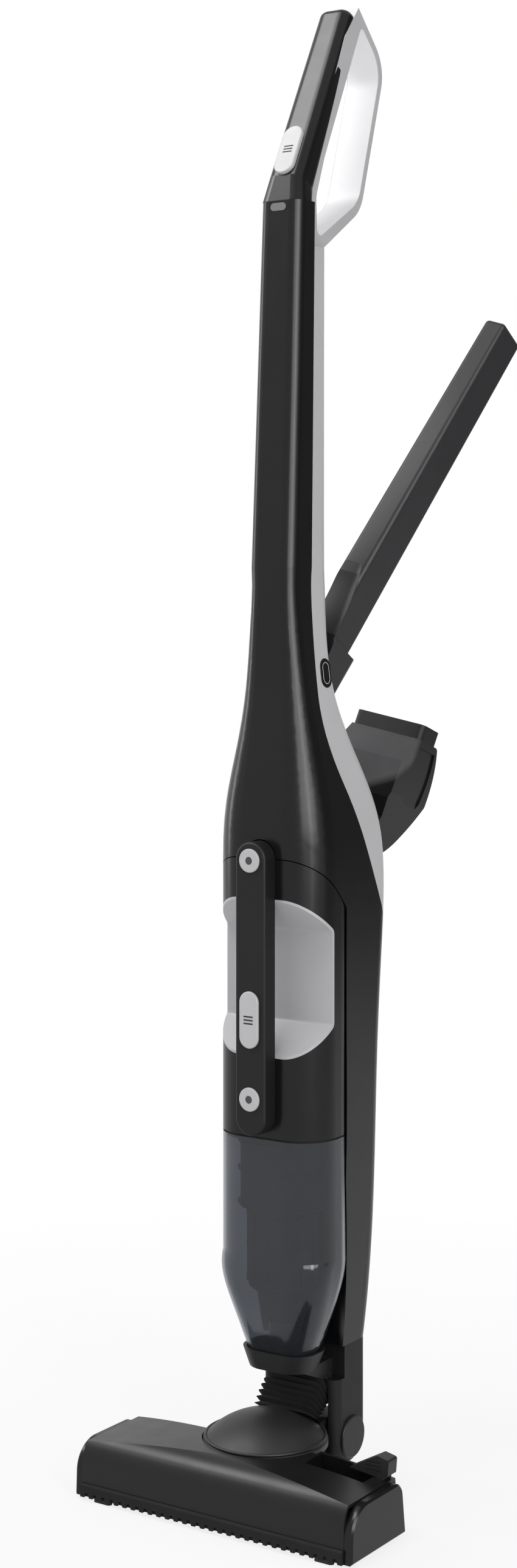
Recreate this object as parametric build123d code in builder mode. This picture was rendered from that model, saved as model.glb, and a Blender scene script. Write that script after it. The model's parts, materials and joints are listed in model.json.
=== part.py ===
from build123d import *
import math
import os

os.makedirs("parts", exist_ok=True)

# Cordless stick vacuum. Millimetres, +Z up, the front is -Y.
# The origin is on the floor, under the axis on which the neck swivels in the floor nozzle.

# Fits
fit_gap = 0.08
part_gap = 0.4
wall = 2.5

# Floor nozzle
nozzle_width = 250
nozzle_depth = 75
nozzle_crown = 50
nozzle_end_height = 42
nozzle_nose_radius = 22
end_cap_width = 7
base_bottom = 3
base_thickness = 9
base_top = base_bottom + base_thickness
nozzle_rear = 0
nozzle_front = nozzle_rear - nozzle_depth
cover_half = nozzle_width / 2 - end_cap_width
bay_margin = 10
bay_left = 52
bay_right = nozzle_width / 2 - end_cap_width - bay_margin
bay_front = -31
bay_floor = 30

# Brush roller and its drive
belt_margin = 15
belt_x = end_cap_width + belt_margin - nozzle_width / 2
belt_width = 6
brush_gap = 1
brush_wall = 6
brush_radius = 17.5
core_radius = 11
brush_y = -51
brush_z = 18.2
brush_left = belt_x + belt_width + brush_gap
brush_right = nozzle_width / 2 - end_cap_width - brush_wall
journal_radius = 4
chamber_rear = -32
tuft_turn = 35
belt_thickness = 1.4
brush_pulley_radius = 9
motor_pulley_radius = 5
brush_motor_radius = 11
brush_motor_length = 46
brush_motor_y = -16
brush_motor_z = 25
motor_shaft_radius = 1.5

# Roller release
lever_inset = 7
lever_x = nozzle_width / 2 - lever_inset
lever_width = 33
lever_height = 17
lever_depth = 12
lever_rear = nozzle_rear - 2.8
lever_pivot_x = lever_x - 7
lever_pivot_z = nozzle_end_height + 1.3
lever_barrel = 3

# Neck: dome on the nozzle, tongue, hinge and castor roller
dome_radius = 48
dome_height = 25
dome_bottom = 44
turret_radius = 28
pivot_post_radius = 12
hinge_y = 68
hinge_z = 36
hinge_radius = 22
hinge_pin_radius = 5
tongue_half = 24
foot_half = 35
foot_front = 46
foot_top = 84
spine_rear = 90
castor_radius = 12
castor_width = 20
castor_y = 62
castor_axle_radius = 2

# Body: stick, shoulder and spine
stick_width = 40
stick_front = 11.5
stick_rear = 58.5
stick_top = 992
stick_middle = 850
stick_bottom = 710
neck_height = 650
shoulder_height = 490
body_width = 98
body_front = -7
body_rear = 101
corner_radius = 30
spine_bottom = 110
dock_front = 38.5
cover_seam = 74
socket_height = 150
socket_radius = 6
socket_bore = 2.75
socket_depth = 12
contact_height = 350
contact_spread = 16
grey_front = 29
grey_front_top = 40
grey_top = 958
tail_height = 445

# Handle
bar_lean = 26.6
bar_length = 186
bar_width = 32
bar_depth = 26
bar_tip_width = 29
bar_tip_depth = 20
loop_width = 30
loop_thickness = 4.5
switch_width = 18
switch_length = 44
switch_travel = 8
switch_centre = 36
lens_height = 987

# Handheld vacuum
hand_rear = 54
hand_rear_radius = 24
hand_top = 489
container_top = 278
container_bottom = 100
dock_gap = 0.8
container_wall = 2.2
nose_neck_half = 40.5
nose_tip_half = 24
nose_neck_front = -2.2
nose_tip_front = 9
nose_neck_rear = 52.2
nose_tip_rear = 41
nose_shoulder = 185
seat_height = 11
seat_gap = 0.8
seal_thickness = 1.5
inlet_radius = 9
seal_y = 25
pocket_top = 457
pocket_bottom = 341
pocket_depth = 26
pocket_slope = 23
liner_thickness = 2
strip_width = 27
strip_front = -21
strip_bottom = 281
strip_top = 503
tongue_depth = 30
ring_radius = 9
ring_top_height = 489
ring_low_height = 309
slide_rise = 60
slide_height = ring_low_height + slide_rise
slide_width = 17
slide_length = 43
slide_travel = 8
button_travel = 2
tilt_y = 6
tilt_z = 128

# Handheld internals
cell_radius = 9.2
cell_length = 65
cell_count = 5
cell_pitch = 18.6
cell_y = 37
fan_radius = 28
fan_thickness = 10
fan_motor_radius = 22
fan_motor_length = 34
fan_y = 24
mesh_radius = 34
mesh_depth = 52
mesh_height = 58
filter_radius = 26
filter_height = 62

# Accessories on the back
swing = 30
crevice_lean = 33
crevice_fold = 24
crevice_y = 72.5
crevice_z = 633
crevice_set = 7.9
crevice_reach = 322
crevice_root_width = 26
crevice_root_depth = 38
crevice_tip_width = 19.5
crevice_tip_depth = 34.8
collar_width = 30
collar_step = 8.5
collar_height = 24
collar_tail = 22
lug_thickness = 6
ear_thickness = 2.7
upholstery_lean = 20.8
upholstery_fold = 20
upholstery_y = 106
upholstery_z = 478
upholstery_width = 66
upholstery_height = 122
mouth_depth = 28
mouth_shift = 18.5
mouth_height = 12
relief_depth = 1.5


def finish(builder, label):
    builder.part.label = label
    export_step(builder.part, f"parts/{label}.step")


def rounded_section(height, half_width, front, rear, front_radius, rear_radius):
    with BuildSketch(Plane.XY.offset(height)) as outline:
        with Locations((0, (front + rear) / 2)):
            Rectangle(2 * half_width, rear - front)
        fillet(outline.vertices().group_by(Axis.Y)[0], front_radius)
        fillet(outline.vertices().group_by(Axis.Y)[-1], rear_radius)
    return outline.sketch


# ---------------------------------------------------------------- floor nozzle

def nozzle_profile(offset_x, inset, bottom=base_top, top=nozzle_crown):
    with BuildSketch(Plane.YZ.offset(offset_x)) as outline:
        with BuildLine():
            FilletPolyline(
                (nozzle_front + inset, bottom),
                (nozzle_front + 1.5 + inset, top - inset),
                (nozzle_rear - 5 - inset, top - inset),
                (nozzle_rear - inset, bottom),
                radius=[nozzle_nose_radius - inset, 10 - inset],
            )
            Line((nozzle_rear - inset, bottom), (nozzle_front + inset, bottom))
        make_face()
    return outline.sketch


def crown_profile(inset):
    half = nozzle_width / 2
    end = nozzle_end_height - inset
    with BuildSketch(Plane.XZ.offset(nozzle_depth + 10)) as outline:
        with BuildLine():
            ThreePointArc((-half, end), (0, nozzle_crown - inset), (half, end))
            Polyline((half, end), (half, 0), (-half, 0), (-half, end))
        make_face()
    return outline.sketch


def nozzle_form(start_x, length, inset):
    with BuildPart() as form:
        extrude(nozzle_profile(start_x, inset), amount=length)
        extrude(crown_profile(inset), amount=-nozzle_depth - 20, mode=Mode.INTERSECT)
    return form.part


with BuildPart() as nozzle_cover:
    add(nozzle_form(-cover_half, 2 * cover_half, 0))
    add(nozzle_form(-cover_half, 2 * cover_half, wall), mode=Mode.SUBTRACT)
    with Locations((0, 0, base_top)):
        Cylinder(dome_radius + part_gap, 60, align=(Align.CENTER, Align.CENTER, Align.MIN), mode=Mode.SUBTRACT)
    # Lowered bay behind the front ridge, where the roller release sits
    with Locations(((bay_left + bay_right) / 2, (bay_front + nozzle_rear - wall) / 2, bay_floor - wall)):
        Box(bay_right - bay_left, nozzle_rear - wall - bay_front, 30, align=(Align.CENTER, Align.CENTER, Align.MIN))
    with Locations(((bay_left + bay_right) / 2, (bay_front + nozzle_rear - wall) / 2, bay_floor)):
        Box(
            bay_right - bay_left - 2 * wall,
            nozzle_rear - wall - bay_front - 2 * wall,
            40,
            align=(Align.CENTER, Align.CENTER, Align.MIN),
            mode=Mode.SUBTRACT,
        )
    extrude(crown_profile(0), amount=-nozzle_depth - 20, mode=Mode.INTERSECT)
    # Groove for the barrel of the roller release
    with Locations(Location((lever_pivot_x, lever_rear - lever_depth / 2, lever_pivot_z), (90, 0, 0))):
        Cylinder(lever_barrel + fit_gap, lever_depth + 0.6, mode=Mode.SUBTRACT)
finish(nozzle_cover, "nozzle_cover")

chamber_front = nozzle_front + 6
with BuildPart() as nozzle_base:
    with BuildSketch(Plane.XY.offset(base_bottom)):
        with Locations((0, (nozzle_front + nozzle_rear) / 2)):
            Rectangle(2 * cover_half, nozzle_depth)
        Circle(dome_radius)
    extrude(amount=base_thickness)
    # Suction mouth under the roller
    with Locations(((brush_left + brush_right) / 2, (chamber_front + chamber_rear) / 2, 0)):
        Box(brush_right - brush_left + 4, chamber_rear - chamber_front, 60, mode=Mode.SUBTRACT)
    # Rear wall of the brush chamber
    with Locations(((brush_left + bay_left) / 2, chamber_rear, base_top)):
        Box(bay_left - brush_left, wall, 26, align=(Align.CENTER, Align.MIN, Align.MIN))
    with Locations((0, 0, base_top)):
        Cylinder(dome_radius + part_gap, 60, align=(Align.CENTER, Align.CENTER, Align.MIN), mode=Mode.SUBTRACT)
    with Locations((0, 0, base_top)):
        Cylinder(pivot_post_radius, 20, align=(Align.CENTER, Align.CENTER, Align.MIN))
    # Cradle of the brush motor
    with Locations((belt_x + 13 + brush_motor_length / 2, brush_motor_y, base_top)):
        Box(brush_motor_length - 8, 2 * brush_motor_radius, 8, align=(Align.CENTER, Align.CENTER, Align.MIN))
    with Locations(Location((belt_x + 13 + brush_motor_length / 2, brush_motor_y, brush_motor_z), (0, 90, 0))):
        Cylinder(brush_motor_radius + fit_gap, brush_motor_length, mode=Mode.SUBTRACT)
    # Slot for the belt
    with Locations((belt_x, (brush_y + brush_motor_y) / 2, base_top)):
        Box(belt_width + 6, 66, 5, align=(Align.CENTER, Align.CENTER, Align.MAX), mode=Mode.SUBTRACT)
    with Locations(Location((0, brush_y, brush_z), (0, 90, 0))):
        Cylinder(journal_radius + 3, 2 * cover_half, mode=Mode.SUBTRACT)
finish(nozzle_base, "nozzle_base")

for side, label in ((-1, "nozzle_end_cap_left"), (1, "nozzle_end_cap_right")):
    with BuildPart() as end_cap:
        extrude(nozzle_profile(side * cover_half, 0, base_bottom, nozzle_end_height), amount=side * end_cap_width)
        outer_face = end_cap.faces().sort_by(Axis.X)[0 if side < 0 else -1]
        chamfer(outer_face.edges(), 1.5)
    finish(end_cap, label)

for side, label in ((-1, "brush_bearing_left"), (1, "brush_bearing_right")):
    with BuildPart() as bearing:
        with BuildSketch(Plane.YZ.offset(side * cover_half)):
            with Locations((brush_y, brush_z)):
                Circle(journal_radius + 3)
                Circle(journal_radius + fit_gap, mode=Mode.SUBTRACT)
        extrude(amount=-side * 5)
    finish(bearing, label)

tooth_pitch = 8
tooth_depth = 3.5
with BuildPart() as nozzle_bumper:
    with Locations((0, nozzle_front, base_bottom)):
        Box(2 * cover_half, 2.5, 10, align=(Align.CENTER, Align.MAX, Align.MIN))
    front_edges = nozzle_bumper.edges().filter_by(Axis.X).group_by(Axis.Y)[0]
    fillet(front_edges.sort_by(Axis.Z)[-1:], 2)
    with BuildSketch(Plane.XZ.offset(-nozzle_front)):
        with Locations((0, base_bottom)):
            with GridLocations(tooth_pitch, 1, int(2 * cover_half / tooth_pitch), 1):
                Trapezoid(tooth_pitch * 0.6, tooth_depth, 75, align=(Align.CENTER, Align.MIN))
    extrude(amount=4, both=True, mode=Mode.SUBTRACT)
finish(nozzle_bumper, "nozzle_bumper")

glide_x = 100
centre_glide_radius = 9
with BuildPart() as floor_glides:
    with BuildSketch():
        with Locations((0, nozzle_front + 3)):
            with GridLocations(2 * glide_x, 1, 2, 1):
                SlotOverall(16, 5)
        with Locations((0, nozzle_rear - 12)):
            with GridLocations(2 * glide_x, 1, 2, 1):
                SlotOverall(16, 8)
        Circle(centre_glide_radius)
    extrude(amount=base_bottom)
finish(floor_glides, "floor_glides")

with BuildPart() as brush_motor:
    with BuildSketch(Plane.YZ.offset(belt_x + 13)):
        with Locations((brush_motor_y, brush_motor_z)):
            Circle(brush_motor_radius)
    extrude(amount=brush_motor_length)
    with BuildSketch(Plane.YZ.offset(belt_x + 13)):
        with Locations((brush_motor_y, brush_motor_z)):
            Circle(motor_shaft_radius + fit_gap)
    extrude(amount=12, mode=Mode.SUBTRACT)
    fillet(brush_motor.edges().filter_by(GeomType.CIRCLE).sort_by(Axis.X)[-1:], 2)
finish(brush_motor, "brush_motor")

with BuildPart() as motor_pulley:
    with BuildSketch(Plane.YZ.offset(belt_x - belt_width / 2 - 1)):
        with Locations((brush_motor_y, brush_motor_z)):
            Circle(motor_pulley_radius)
    extrude(amount=belt_width + 2)
    with BuildSketch(Plane.YZ.offset(belt_x)):
        with Locations((brush_motor_y, brush_motor_z)):
            Circle(motor_shaft_radius)
    extrude(amount=23)
finish(motor_pulley, "motor_pulley")


def belt_loop(radius_gap):
    with BuildSketch(Plane.YZ.offset(belt_x - belt_width / 2)) as loop:
        with Locations((brush_motor_y, brush_motor_z)):
            Circle(motor_pulley_radius + radius_gap)
        with Locations((brush_y, brush_z)):
            Circle(brush_pulley_radius + radius_gap)
        make_hull()
    return loop.sketch


with BuildPart() as drive_belt:
    extrude(belt_loop(fit_gap + belt_thickness), amount=belt_width)
    extrude(belt_loop(fit_gap), amount=belt_width, mode=Mode.SUBTRACT)
finish(drive_belt, "drive_belt")

with BuildPart() as brush_core:
    with BuildSketch(Plane.YZ.offset(brush_left)):
        with Locations((brush_y, brush_z)):
            Circle(core_radius)
    extrude(amount=brush_right - brush_left)
    with BuildSketch(Plane.YZ.offset(belt_x - belt_width / 2 - 1)):
        with Locations((brush_y, brush_z)):
            Circle(brush_pulley_radius)
    extrude(amount=belt_width + 2)
    with BuildSketch(Plane.YZ.offset(-cover_half + 0.5)):
        with Locations((brush_y, brush_z)):
            Circle(journal_radius)
    extrude(amount=2 * cover_half - 1)
finish(brush_core, "brush_roller")

# Four tufted strips, each turning a little along the roller, mirrored at the middle
brush_middle = (brush_left + brush_right) / 2
tuft_span = (brush_right - brush_left) / 2 - 2
def tuft_section(x, turn):
    angle = math.radians(turn)
    radial = (0, math.cos(angle), math.sin(angle))
    with BuildSketch(Plane((x, brush_y, brush_z), x_dir=radial, z_dir=(1, 0, 0))) as strip:
        with Locations(((core_radius + brush_radius) / 2 - 0.5, 0)):
            Rectangle(brush_radius - core_radius + 1, 3.5)
    return strip.sketch


with BuildPart() as brush_bristles:
    for side in (-1, 1):
        for start in (0, 90, 180, 270):
            stations = [(brush_middle + side * tuft_span * step / 2, start + tuft_turn * step) for step in range(3)]
            loft([tuft_section(x, turn) for x, turn in stations])
    with Locations(Location((brush_middle, brush_y, brush_z), (0, 90, 0))):
        Cylinder(core_radius, 300, mode=Mode.SUBTRACT)
finish(brush_bristles, "brush_bristles")

with BuildPart() as brush_release_lever:
    with BuildSketch(Plane.XZ.offset(-lever_rear)):
        with BuildLine():
            FilletPolyline(
                (lever_x - lever_width, lever_pivot_z + 4),
                (lever_x - 9, lever_pivot_z + lever_height),
                (lever_x + 1, lever_pivot_z + lever_height - 2),
                (lever_x, lever_pivot_z + 3.5),
                radius=2,
            )
            Polyline(
                (lever_x, lever_pivot_z + 3.5),
                (lever_pivot_x, lever_pivot_z + 1),
                (lever_x - lever_width, lever_pivot_z + 4),
            )
        make_face()
        with Locations((lever_pivot_x, lever_pivot_z)):
            Circle(lever_barrel)
    extrude(amount=lever_depth)
    with BuildSketch(Plane.XZ.offset(-lever_rear + lever_depth)):
        with Locations((lever_x - 12, lever_pivot_z + 9)):
            with GridLocations(1, 3, 1, 3):
                Rectangle(12, 1)
    extrude(amount=-0.8, mode=Mode.SUBTRACT)
finish(brush_release_lever, "brush_release_lever")

# ---------------------------------------------------------------- neck

with BuildPart() as swivel_yoke:
    with BuildSketch(Plane.XY.offset(base_top + part_gap)):
        Circle(turret_radius)
        Circle(pivot_post_radius + fit_gap, mode=Mode.SUBTRACT)
    extrude(amount=dome_bottom - base_top - part_gap)
    with BuildSketch(Plane.YZ.offset(-tongue_half)):
        with BuildLine():
            Polyline((10, 22), (10, dome_bottom), (hinge_y - 20, hinge_z + 18), (hinge_y, hinge_z + 18))
            ThreePointArc((hinge_y, hinge_z + 18), (hinge_y + 18, hinge_z), (hinge_y, hinge_z - 18))
            Polyline((hinge_y, hinge_z - 18), (hinge_y, 8), (hinge_y - 18, 8), (hinge_y - 24, 22), (10, 22))
        make_face()
    extrude(amount=2 * tongue_half)
    with Locations((0, 0, 0)):
        Cylinder(pivot_post_radius + fit_gap, 74, mode=Mode.SUBTRACT)
    with Locations(Location((0, hinge_y, hinge_z), (0, 90, 0))):
        Cylinder(hinge_pin_radius + fit_gap, 200, mode=Mode.SUBTRACT)
    with Locations((0, castor_y, 0)):
        Box(castor_width + 2, 2 * castor_radius + 3, 56, mode=Mode.SUBTRACT)
    with Locations(Location((0, castor_y, castor_radius), (0, 90, 0))):
        Cylinder(castor_axle_radius, 2 * tongue_half, mode=Mode.SUBTRACT)
finish(swivel_yoke, "swivel_yoke")

with BuildPart() as swivel_dome:
    cap_height = dome_height - 4
    cap_radius = (dome_radius**2 + cap_height**2) / (2 * cap_height)
    with Locations((0, 0, dome_bottom)):
        Cylinder(dome_radius, dome_height, align=(Align.CENTER, Align.CENTER, Align.MIN))
    with Locations((0, 0, dome_bottom + dome_height - cap_radius)):
        Sphere(cap_radius, mode=Mode.INTERSECT)
    # Room for the tongue and the hose behind the dome
    with Locations((0, tongue_half + 10, dome_bottom)):
        Box(2 * tongue_half, 60, 12, align=(Align.CENTER, Align.MIN, Align.MIN), mode=Mode.SUBTRACT)
    with Locations((0, hinge_y, 0)):
        Box(4 * dome_radius, 2 * (hinge_y - dome_radius + 6), 200, mode=Mode.SUBTRACT)
    add(swivel_yoke.part, mode=Mode.SUBTRACT)
finish(swivel_dome, "swivel_dome")

with BuildPart() as hinge_pin:
    with BuildSketch(Plane.YZ.offset(-foot_half)):
        with Locations((hinge_y, hinge_z)):
            Circle(hinge_pin_radius)
    extrude(amount=2 * foot_half)
finish(hinge_pin, "hinge_pin")

for side, label in ((-1, "hinge_cover_left"), (1, "hinge_cover_right")):
    with BuildPart() as hinge_cover:
        with BuildSketch(Plane.YZ.offset(side * foot_half)):
            with Locations((hinge_y, hinge_z)):
                Circle(hinge_radius - 6)
        extrude(amount=side * 2)
        outer_rim = hinge_cover.edges().filter_by(GeomType.CIRCLE).sort_by(Axis.X)[0 if side < 0 else -1]
        fillet(outer_rim, 1.2)
    finish(hinge_cover, label)

with BuildPart() as castor_roller:
    with BuildSketch(Plane.YZ.offset(-castor_width / 2)):
        with Locations((castor_y, castor_radius)):
            Circle(castor_radius)
            Circle(castor_axle_radius + fit_gap, mode=Mode.SUBTRACT)
    extrude(amount=castor_width)
    rims = castor_roller.edges().filter_by(GeomType.CIRCLE).filter_by(lambda e: e.radius > castor_radius - 1)
    fillet(rims, 2)
finish(castor_roller, "castor_roller")

with BuildPart() as castor_axle:
    with BuildSketch(Plane.YZ.offset(-tongue_half)):
        with Locations((castor_y, castor_radius)):
            Circle(castor_axle_radius)
    extrude(amount=2 * tongue_half)
finish(castor_axle, "castor_axle")

# ---------------------------------------------------------------- body envelope

def envelope_section(height, half_width, front, rear):
    fraction = (half_width - stick_width / 2) / (body_width / 2 - stick_width / 2)
    front_radius = 10 + (corner_radius - 10) * max(0, min(1, fraction))
    return rounded_section(height, half_width, front, rear, front_radius, 10 + 4 * max(0, min(1, fraction)))


half_stick = stick_width / 2
half_body = body_width / 2
flare = neck_height - shoulder_height
with BuildPart() as body_envelope:
    loft([
        envelope_section(spine_bottom, half_body - 12, body_front + 8, spine_rear),
        envelope_section(190, half_body - 3.5, body_front, spine_rear),
        envelope_section(270, half_body, body_front, spine_rear),
        envelope_section(350, half_body, body_front, spine_rear + 4),
        envelope_section(430, half_body, body_front, body_rear),
        envelope_section(shoulder_height, half_body, body_front, body_rear),
        envelope_section(shoulder_height + 0.25 * flare, half_body - 3.5, body_front + 1, body_rear - 9),
        envelope_section(shoulder_height + 0.5 * flare, half_stick + 17, body_front + 6, stick_rear + 17),
        envelope_section(shoulder_height + 0.75 * flare, half_stick + 9, 3, stick_rear + 3),
        envelope_section(neck_height, half_stick + 4, 4, stick_rear - 1.5),
        envelope_section(stick_bottom, half_stick + 1, 4.5, stick_rear - 1.5),
    ])
    loft(
        [
            envelope_section(stick_bottom, half_stick + 1, 4.5, stick_rear - 1.5),
            envelope_section(stick_middle, half_stick, stick_front, stick_rear),
            envelope_section(stick_top, half_stick - 1, 18, stick_rear + 2),
        ],
        ruled=True,
    )


# The handheld's top edge, seen from the side: high at the front, falling to the rear
def hand_outline(grow):
    with BuildSketch(Plane.YZ) as outline:
        with BuildLine():
            front = body_front - 40 - grow
            rear = hand_rear + grow
            bottom = container_bottom - grow
            Polyline((rear, hand_top - 64 + grow), (rear, bottom), (front, bottom), (front, hand_top + 32 + grow))
            Line((front, hand_top + 32 + grow), (body_front, hand_top + grow))
            ThreePointArc(
                (body_front, hand_top + grow),
                (27 + grow * 0.5, hand_top - 27 + grow),
                (rear, hand_top - 64 + grow),
            )
        make_face()
    return outline.sketch


def hand_section(height, shrink):
    return rounded_section(
        height,
        half_body - shrink,
        body_front + shrink,
        hand_rear - shrink,
        corner_radius - shrink,
        hand_rear_radius - shrink,
    )


# Space that the docked handheld takes out of the body, with its gap
with BuildPart() as dock_space:
    extrude(hand_outline(dock_gap), amount=body_width, both=True)
    with BuildSketch() as dock_plan:
        with Locations((0, dock_front)):
            Rectangle(2 * body_width, 120, align=(Align.CENTER, Align.MAX))
        add(hand_section(0, -dock_gap))
    extrude(dock_plan.sketch, amount=hand_top + 60, mode=Mode.INTERSECT)
    # The nose rocks in the seat as the handheld tilts out
    with Locations(Location((0, tilt_y, tilt_z), (0, 90, 0))):
        Cylinder(hand_rear + 3 - tilt_y, 2 * nose_tip_half + 2)
    with Locations((0, 0, container_bottom - dock_gap)):
        Box(400, 400, 200, align=(Align.CENTER, Align.CENTER, Align.MAX), mode=Mode.SUBTRACT)

# Notch for the tongue that stands above the handheld
with BuildPart() as tongue_space:
    with BuildSketch(Plane.XZ.offset(60)):
        with Locations((0, strip_top + 1 - strip_width / 2 - 1)):
            Circle(strip_width / 2 + 1)
        with Locations((0, hand_top - 40)):
            Rectangle(strip_width + 2, strip_top - strip_width / 2 - hand_top + 40, align=(Align.CENTER, Align.MIN))
    extrude(amount=-60 - strip_front - tongue_depth - 1)


# Joint line between the black front shell and the light rear shell
def grey_region():
    with BuildSketch(Plane.YZ) as region:
        with BuildLine():
            FilletPolyline(
                (grey_front_top, stick_top),
                (grey_front, neck_height - 73),
                (body_rear - 13, tail_height + 5),
                (body_rear + 30, tail_height - 84),
                radius=[150, 1],
            )
            Polyline((body_rear + 30, tail_height - 84), (body_rear + 30, stick_top), (grey_front_top, stick_top))
        make_face()
    return region.sketch


with BuildPart() as rear_shell:
    extrude(grey_region(), amount=body_width, both=True)
    add(body_envelope.part, mode=Mode.INTERSECT)
    with Locations((0, 0, grey_top)):
        Box(400, 400, 400, align=(Align.CENTER, Align.CENTER, Align.MIN), mode=Mode.SUBTRACT)
finish(rear_shell, "rear_shell")

with BuildPart() as back_cover:
    add(body_envelope.part)
    with Locations((0, cover_seam, 0)):
        Box(400, 400, 4000, align=(Align.CENTER, Align.MIN, Align.CENTER), mode=Mode.INTERSECT)
    extrude(grey_region(), amount=body_width, both=True, mode=Mode.SUBTRACT)
    add(dock_space.part, mode=Mode.SUBTRACT)
    with Locations(Location((0, spine_rear, socket_height), (90, 0, 0))):
        Cylinder(socket_radius, 2 * socket_depth, mode=Mode.SUBTRACT)
finish(back_cover, "back_cover")

with BuildPart() as front_shell:
    add(body_envelope.part)
    with Locations((0, cover_seam, 0)):
        Box(400, 400, 4000, align=(Align.CENTER, Align.MAX, Align.CENTER), mode=Mode.INTERSECT)
    extrude(grey_region(), amount=body_width, both=True, mode=Mode.SUBTRACT)
    add(dock_space.part, mode=Mode.SUBTRACT)
    add(tongue_space.part, mode=Mode.SUBTRACT)
    # Seats of the two charging contacts
    with Locations((0, hand_rear, contact_height)):
        with GridLocations(contact_spread, 1, 2, 1):
            Box(5, 16, 9, mode=Mode.SUBTRACT)
    # Window of the indicator lens
    with BuildSketch(Plane.XZ.offset(-30)):
        with Locations((0, lens_height)):
            SlotOverall(14, 6)
    extrude(amount=40, mode=Mode.SUBTRACT)
finish(front_shell, "front_shell")

with BuildPart() as dock_contacts:
    with Locations((0, hand_rear + 0.4, contact_height)):
        with GridLocations(contact_spread, 1, 2, 1):
            Box(5, 7.6, 9, align=(Align.CENTER, Align.MIN, Align.CENTER))
    fillet(dock_contacts.edges().filter_by(Axis.X).group_by(Axis.Y)[0], 0.5)
finish(dock_contacts, "dock_contacts")

with BuildPart() as charging_socket:
    with BuildSketch(Plane.XZ.offset(-spine_rear)):
        with Locations((0, socket_height)):
            Circle(socket_radius)
            Circle(socket_bore, mode=Mode.SUBTRACT)
    extrude(amount=socket_depth)
    with BuildSketch(Plane.XZ.offset(-spine_rear + socket_depth)):
        with Locations((0, socket_height)):
            Circle(socket_radius)
    extrude(amount=-2)
finish(charging_socket, "charging_socket")

# ---------------------------------------------------------------- foot, seat and hose

# Suction path from the nose down into the foot
duct_mid = Vector(0, 47, 86)
duct_plane = Plane(duct_mid, x_dir=(1, 0, 0), z_dir=duct_mid - Vector(0, seal_y, container_bottom))
duct_radius = inlet_radius

with BuildPart() as foot:
    with BuildSketch(Plane.YZ.offset(-foot_half)):
        with Locations((hinge_y, hinge_z)):
            Circle(hinge_radius)
        with BuildLine():
            Polyline(
                (foot_front, hinge_z),
                (foot_front, foot_top),
                (hand_rear + 3.4, foot_top),
                (hand_rear + 3.4, spine_bottom),
                (spine_rear, spine_bottom),
                (spine_rear, hinge_z),
                (foot_front, hinge_z),
            )
        make_face()
    extrude(amount=2 * foot_half)
    rear_edges = foot.edges().filter_by(Axis.Z).group_by(Axis.Y)[-1]
    fillet(rear_edges, 8)
    # Hollow between the cheeks, open to the front and the bottom
    with BuildSketch(Plane.YZ.offset(-tongue_half - 3)):
        with BuildLine():
            Polyline((0, 0), (0, 78), (spine_rear - 8, 78), (spine_rear - 8, 66), (130, 66), (130, 0), (0, 0))
        make_face()
    extrude(amount=2 * tongue_half + 6, mode=Mode.SUBTRACT)
    with BuildSketch(Plane.YZ.offset(-foot_half)):
        with Locations((hinge_y, hinge_z)):
            Circle(hinge_pin_radius)
    extrude(amount=2 * foot_half, mode=Mode.SUBTRACT)
    with BuildSketch(duct_plane):
        Circle(duct_radius)
    extrude(amount=60, both=True, mode=Mode.SUBTRACT)
finish(foot, "foot")


# The tapered nose, inset from its outer face
def nose_form(inset, top):
    rise = (nose_shoulder - container_bottom) / 4
    low_half = (nose_tip_half + nose_neck_half) / 2 + 0.25
    low_front = (nose_tip_front + nose_neck_front) / 2 - 0.4
    low_rear = (nose_tip_rear + nose_neck_rear) / 2 + 1.9
    with BuildPart() as form:
        extrude(hand_section(nose_shoulder, inset), amount=top - nose_shoulder)
        loft([
            nose_section(container_bottom, nose_tip_half, nose_tip_front, nose_tip_rear, 15, inset),
            nose_section(container_bottom + rise, low_half, low_front, low_rear, 20, inset),
            nose_section(nose_shoulder - 2 * rise, nose_neck_half, nose_neck_front, nose_neck_rear, 24, inset),
            nose_section(nose_shoulder - rise, half_body - 2.4, body_front + 1.4, hand_rear - 0.5, 24, inset),
            hand_section(nose_shoulder, inset),
        ])
    return form.part


def nose_section(height, half_width, front, rear, corner, inset):
    if height == container_bottom:
        height += inset
    return rounded_section(height, half_width - inset, front + inset, rear - inset, corner - inset, corner - inset)


with BuildPart() as nose_seat:
    add(nose_form(-seat_gap - wall, container_top))
    with Locations((0, 0, container_bottom + seat_height)):
        Box(400, 400, 400, align=(Align.CENTER, Align.CENTER, Align.MIN), mode=Mode.SUBTRACT)
    # Wedge that carries the seat on the foot
    with BuildSketch(Plane.YZ.offset(-nose_tip_half)):
        with BuildLine():
            Polyline(
                (nose_tip_front + 3, container_bottom - 2),
                (foot_front, foot_top),
                (hand_rear + 3.4, foot_top),
                (hand_rear + 3.4, container_bottom - 2),
                (nose_tip_front + 3, container_bottom - 2),
            )
        make_face()
    extrude(amount=2 * nose_tip_half)
    add(nose_form(-seat_gap, container_top), mode=Mode.SUBTRACT)
    # Open to the rear, where the nose rocks
    with Locations((0, hand_rear - 12, container_bottom - seat_gap)):
        Box(400, 80, 40, align=(Align.CENTER, Align.MIN, Align.MIN), mode=Mode.SUBTRACT)
    add(front_shell.part, mode=Mode.SUBTRACT)
    with BuildSketch(duct_plane):
        Circle(duct_radius)
    extrude(amount=60, mode=Mode.SUBTRACT)
    with BuildSketch(duct_plane):
        Circle(duct_radius)
    extrude(amount=-30, mode=Mode.SUBTRACT)
finish(nose_seat, "nose_seat")

with BuildPart() as nose_seal:
    with BuildSketch(Plane.XY.offset(container_bottom - seat_gap)):
        with Locations((0, seal_y)):
            Circle(inlet_radius + 5)
            Circle(inlet_radius + 2.5, mode=Mode.SUBTRACT)
    extrude(amount=seat_gap - 0.2)
finish(nose_seal, "nose_seal")

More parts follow.
